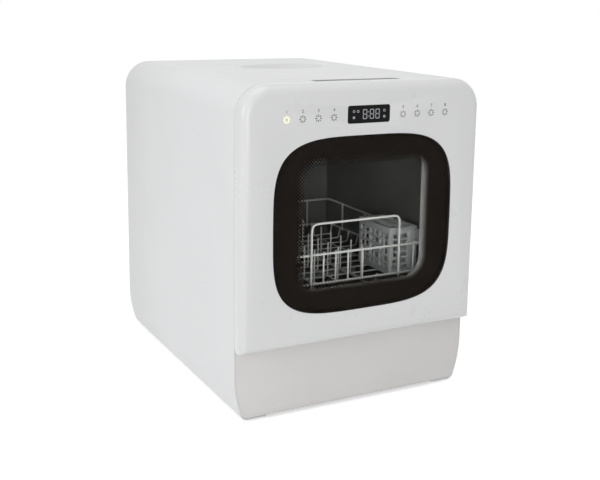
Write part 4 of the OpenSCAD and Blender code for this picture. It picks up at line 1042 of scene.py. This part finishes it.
def makeBasket():
    (x0, x1), (y0, y1), z0, z1 = basketX, basketY, basket["z"], basket["z"] + basket["tall"]
    wall, rib = basket["wall"], basket["rib"]
    shell = addBox("cutleryBasket", (x0, y0, z0), (x1, y1, z1))
    bevelEdges(shell, lambda e: runsAlong(e, 2), basket["corner"], 4)
    cell = (basket["deep"] - wall)/basket["cells"]
    for i in range(basket["cells"]):
        hollow = addBox("cell", (x0 + wall, y0 + wall + i*cell, z0 + wall),
                        (x1 - wall, y0 + (i + 1)*cell, z1 + past))
        bevelEdges(hollow, lambda e: edgeAt(e, 2, z0 + wall) or runsAlong(e, 2), basket["slotCorner"], 2)
        cut(shell, hollow)
    stepY = (basket["deep"] - basket["deepIn"])/basket["columns"]
    stepZ, endZ = ((basket["tall"] - basket["tallIn"])/basket[rows] for rows in ("rows", "endRows"))
    boxes = []
    for i in range(basket["columns"]):
        for k in range(basket["rows"]):
            y, z = y0 + basket["sideIn"] + i*stepY + rib/2, z0 + basket["lowIn"] + k*stepZ
            boxes.append(((x0 - past, y, z), (x1 + past, y + stepY - rib, z + stepZ - rib)))
    cut(shell, slotCutter("sideSlots", boxes, 0, basket["slotCorner"]))
    near, far = basket["endSlot"]
    levels = [z0 + basket["lowIn"] + k*endZ for k in range(basket["endRows"])]
    boxes = [((x0 + near, y0 - past, z), (x0 + far, y1 + past, z + endZ - rib)) for z in levels]
    cut(shell, slotCutter("endSlots", boxes, 1, basket["slotCorner"]))
    (stepX, stepY), (halfX, halfY) = basket["floorStep"], basket["floorHalf"]
    places = [(basket["x"] + sideX*stepX, y0 + wall + (i + 0.5)*cell + sideY*stepY)
              for i in range(basket["cells"]) for sideX in (-1, 1) for sideY in (-1, 1)]
    low, high = (z0 + z for z in basket["floorZ"])
    boxes = [((x - halfX, y - halfY, low), (x + halfX, y + halfY, high)) for x, y in places]
    cut(shell, slotCutter("floorSlots", boxes, 2, basket["floorCorner"]))
    (down, up), front = basket["blockZ"], y0 - basket["blockOut"]
    block = addBox("labelBlock", (x1 - basket["block"], front, z1 - down),
                   (x1, y0 + basket["blockIn"], z1 - up))
    bevelEdges(block, lambda e: edgeAt(e, 1, front), basket["blockEdge"], 3)
    made = merge("cutleryBasket", [shell, block])
    finish(made, "cutlery_basket", basketPlastic, ["cutlery_basket"])


def makeBasketLid():
    (x0, x1), (y0, y1), z0 = basketX, basketY, basket["z"] + basket["tall"] + lid["gap"]
    z1 = z0 + lid["thick"]
    plate = addBox("basketLid", (x0, y0, z0), (x1, y1, z1))
    bevelEdges(plate, lambda e: runsAlong(e, 2), basket["corner"], 4)
    step = (basket["deep"] - lid["slotEnds"])/lid["slots"]
    places = [(basket["x"] + side*lid["slotX"], y0 + lid["slotIn"] + i*step + lid["slotGap"])
              for i in range(lid["slots"]) for side in (-1, 1)]
    boxes = [((x - lid["slotHalf"], y, z0 - lid["over"]), (x + lid["slotHalf"], y + step - 2*lid["slotGap"],
                                                           z1 + lid["over"])) for x, y in places]
    cut(plate, slotCutter("lidSlots", boxes, 2, lid["slotCorner"], 3))
    parts = [roundEdges(plate, lid["edge"], 2, 60)]
    left, right = (basket["x"] + x for x in lid["tabX"])
    for side, edge in ((-1, y0), (1, y1)):
        outer = edge + side*(lid["gap"] + lid["tab"])
        front, back = sorted((edge - side*lid["tabIn"], outer))
        bridge = addBox("bridge", (left, front, z0), (right, back, z1))
        front, back = sorted((edge + side*lid["gap"], outer))
        tab = addBox("tab", (left, front, z0 - lid["tabDown"]), (right, back, z0 + lid["tabUp"]))
        parts += [bevelEdges(bridge, lambda e: edgeAt(e, 1, outer), lid["tabEdge"], 2),
                  bevelEdges(tab, lambda e: edgeAt(e, 2, z0 - lid["tabDown"]), lid["tabEdge"], 2)]
    finish(merge("basketLid", parts), "basket_lid", basketPlastic, ["basket_lid"])


makeRackFrame()
makeBentWires()
makeProngs()
makeBasket()
makeBasketLid()
print("rack and basket made")


# moulded, pressed and turned parts with softened edges

# node: (piece name, edge width in metres)
softened = dict(
    rear_panel=("rearPanel", 0.0003), hose_spigots=("hoseSpigots", 0.0006),
    power_inlet=("powerInlet", 0.0006), base_pan=("basePan", 0.0008), front_frame=("frontFrame", 0.0005),
    frame_posts=("framePosts", 0.0005), hinge_brackets=("hingeBrackets", 0.0005),
    rear_screws=("rearScrews", 0.0003), switches=("doorSwitches", 0.0005), tub=("tubShell", 0.0015),
    door_liner=("doorLiner", 0.0010), inner_glass=("innerGlass", 0.0006), hinge_arms=("hingeArms", 0.0005),
    catch_lever=("catchLever", 0.0005), control_board=("controlBoard", 0.0002),
    filter_plate=("filterPlate", 0.0003), filter_cup=("filterCup", 0.0004), sump=("sumpCup", 0.0008),
    spray_arm=("sprayArm", 0.0012), spray_hub=("sprayHub", 0.0006), hub_nut=("hubNut", 0.0008),
    tub_float=("tubFloat", 0.0010), tank_float=("tankFloat", 0.0012), tub_heater=("tubHeater", 0.0003),
    feed_pipe=("feedPipe", 0.0008), wash_pump=("washPump", 0.0012), pump_motor=("pumpMotor", 0.0015),
    pump_impeller=("pumpImpeller", 0.0004), drain_pump=("drainPump", 0.0010),
    drain_impeller=("drainImpeller", 0.0004), water_tank=("waterTank", 0.0030),
    fill_duct=("fillDuct", 0.0008), transfer_pump=("transferPump", 0.0010),
    inlet_valve=("inletValve", 0.0010), air_duct=("airDuct", 0.0006), drying_heater=("dryingHeater", 0.0003),
    fan_housing=("fanHousing", 0.0008), fan_rotor=("fanRotor", 0.0004), board_tray=("boardTray", 0.0006),
    main_board=("mainBoard", 0.0002))


slotOf = {part["node"]: part["material_slot"] for part in frame["record"]["subparts"]}
bodyOf = {node: name for name, held in frame["record"]["behaviour"]["bodies"].items() for node in held}


def soften(node, name, width):
    # a joined-up copy of the solid, its flat faces made whole and its sharp edges rounded
    piece = nodes[node].copy()
    piece.data = piece.data.copy()
    bpy.context.scene.collection.objects.link(piece)
    piece.parent = None
    piece.matrix_world = Matrix.Identity(4)
    piece.name = piece.data.name = name
    roundEdges(weld(piece, 2e-6, flat=1), width, 2, 40)
    return finish(piece, bodyOf[node], slotFinish[slotOf[node]], [node])


for node, (name, width) in softened.items():
    soften(node, name, width).visible_shadow = node != "inner_glass"
print("edges softened:", len(softened), "pieces")


# stage, light and camera

stage = dict(floor=40.0, drop=-0.0002, level=0.86, glow=0.55, sky=0.54)
# name, place, aim, size in metres and power in watts
lamps = (("topLamp", (-0.2, -0.3, 2.2), (0, 0, 0.3), 1.6, 9.0),
         ("leftLamp", (-2.2, -0.7, 0.9), (0, 0, 0.25), 1.2, 9),
         ("frontLamp", (-0.9, -2.0, 0.5), (0, 0, 0.25), 0.8, 6.2))


def seenBy(tree, *rays):
    # 1 where one of the named kinds of ray looks
    path = tree.nodes.new("ShaderNodeLightPath")
    seen = path.outputs[rays[0]]
    for ray in rays[1:]:
        seen = calc(tree, "MAXIMUM", seen, path.outputs[ray])
    return seen


def mixShaders(tree, factor, first, second, output):
    mix = add(tree, "MixShader", {0: factor, 1: first.outputs[0], 2: second.outputs[0]})
    feed(tree, tree.nodes[output], {"Surface": mix.outputs[0]})


def makeFloor():
    clearSelection()
    bpy.ops.mesh.primitive_grid_add(x_subdivisions=8, y_subdivisions=8, size=stage["floor"],
                                    location=(0, 0, stage["drop"]))
    floor = settle(bpy.context.object, "floor")
    material = bpy.data.materials.new("paleFloor")
    material.use_nodes = True
    tree = material.node_tree
    shader = feed(tree, tree.nodes["Principled BSDF"], {
        "Base Color": (stage["level"],)*3 + (1,), "Roughness": 0.9, "Specular IOR Level": 0.1})
    glow = add(tree, "Emission", {"Strength": stage["glow"]})
    both = add(tree, "AddShader", {0: shader.outputs[0], 1: glow.outputs[0]})
    mixShaders(tree, seenBy(tree, "Is Camera Ray", "Is Glossy Ray"), shader, both, "Material Output")
    floor.data.materials.append(material)


def makeSky():
    # dimmer as a light than as a backdrop
    world = bpy.data.worlds.new("studio")
    bpy.context.scene.world = world
    world.use_nodes = True
    tree = world.node_tree
    plain = feed(tree, tree.nodes["Background"], {"Color": (1, 1, 1, 1), "Strength": stage["sky"]})
    white = add(tree, "Background", {"Color": (1, 1, 1, 1), "Strength": 1.0})
    mixShaders(tree, seenBy(tree, "Is Camera Ray", "Is Glossy Ray", "Is Transmission Ray"), plain, white,
               "World Output")


def addLamp(name, place, aim, size, power):
    lamp = bpy.data.lights.new(name, "AREA")
    lamp.shape = "SQUARE"
    lamp.size = size
    lamp.energy = power
    holder = bpy.data.objects.new(name, lamp)
    bpy.context.scene.collection.objects.link(holder)
    holder.location = place
    holder.rotation_mode = "QUATERNION"
    holder.rotation_quaternion = (Vector(aim) - Vector(place)).to_track_quat("-Z", "Y")


def makeCamera():
    # yaw, tilt and roll in degrees; distance and target in metres; focal length in units of the frame's width
    shot = dict(yaw=-27.644, tilt=10.730, roll=0.762, distance=1.5632, targetX=0.02244, targetZ=0.2900,
                focal=963.55/600, shiftX=0.0, shiftY=-60/600)
    yaw, tilt, roll = (math.radians(shot[k]) for k in ("yaw", "tilt", "roll"))
    back = Vector((math.sin(yaw)*math.cos(tilt), -math.cos(yaw)*math.cos(tilt), math.sin(tilt)))
    right = Vector((math.cos(yaw), math.sin(yaw), 0))
    up = back.cross(right)
    turnedRight = right*math.cos(roll) + up*math.sin(roll)
    turnedUp = up*math.cos(roll) - right*math.sin(roll)
    camera = bpy.data.cameras.new("camera")
    camera.sensor_width = 36
    camera.lens = shot["focal"]*36
    camera.shift_x, camera.shift_y = shot["shiftX"], shot["shiftY"]
    camera.clip_start, camera.clip_end = 0.05, 50
    holder = bpy.data.objects.new("camera", camera)
    bpy.context.scene.collection.objects.link(holder)
    place = Vector((shot["targetX"], 0, shot["targetZ"])) + back*shot["distance"]
    facing = Matrix((turnedRight, turnedUp, back)).transposed().to_4x4()
    holder.matrix_world = Matrix.Translation(place) @ facing
    bpy.context.scene.camera = holder


makeFloor()
makeSky()
for lamp in lamps:
    addLamp(*lamp)
makeCamera()
bpy.context.scene.view_settings.view_transform = "Standard"
print("stage, lamps and camera set")
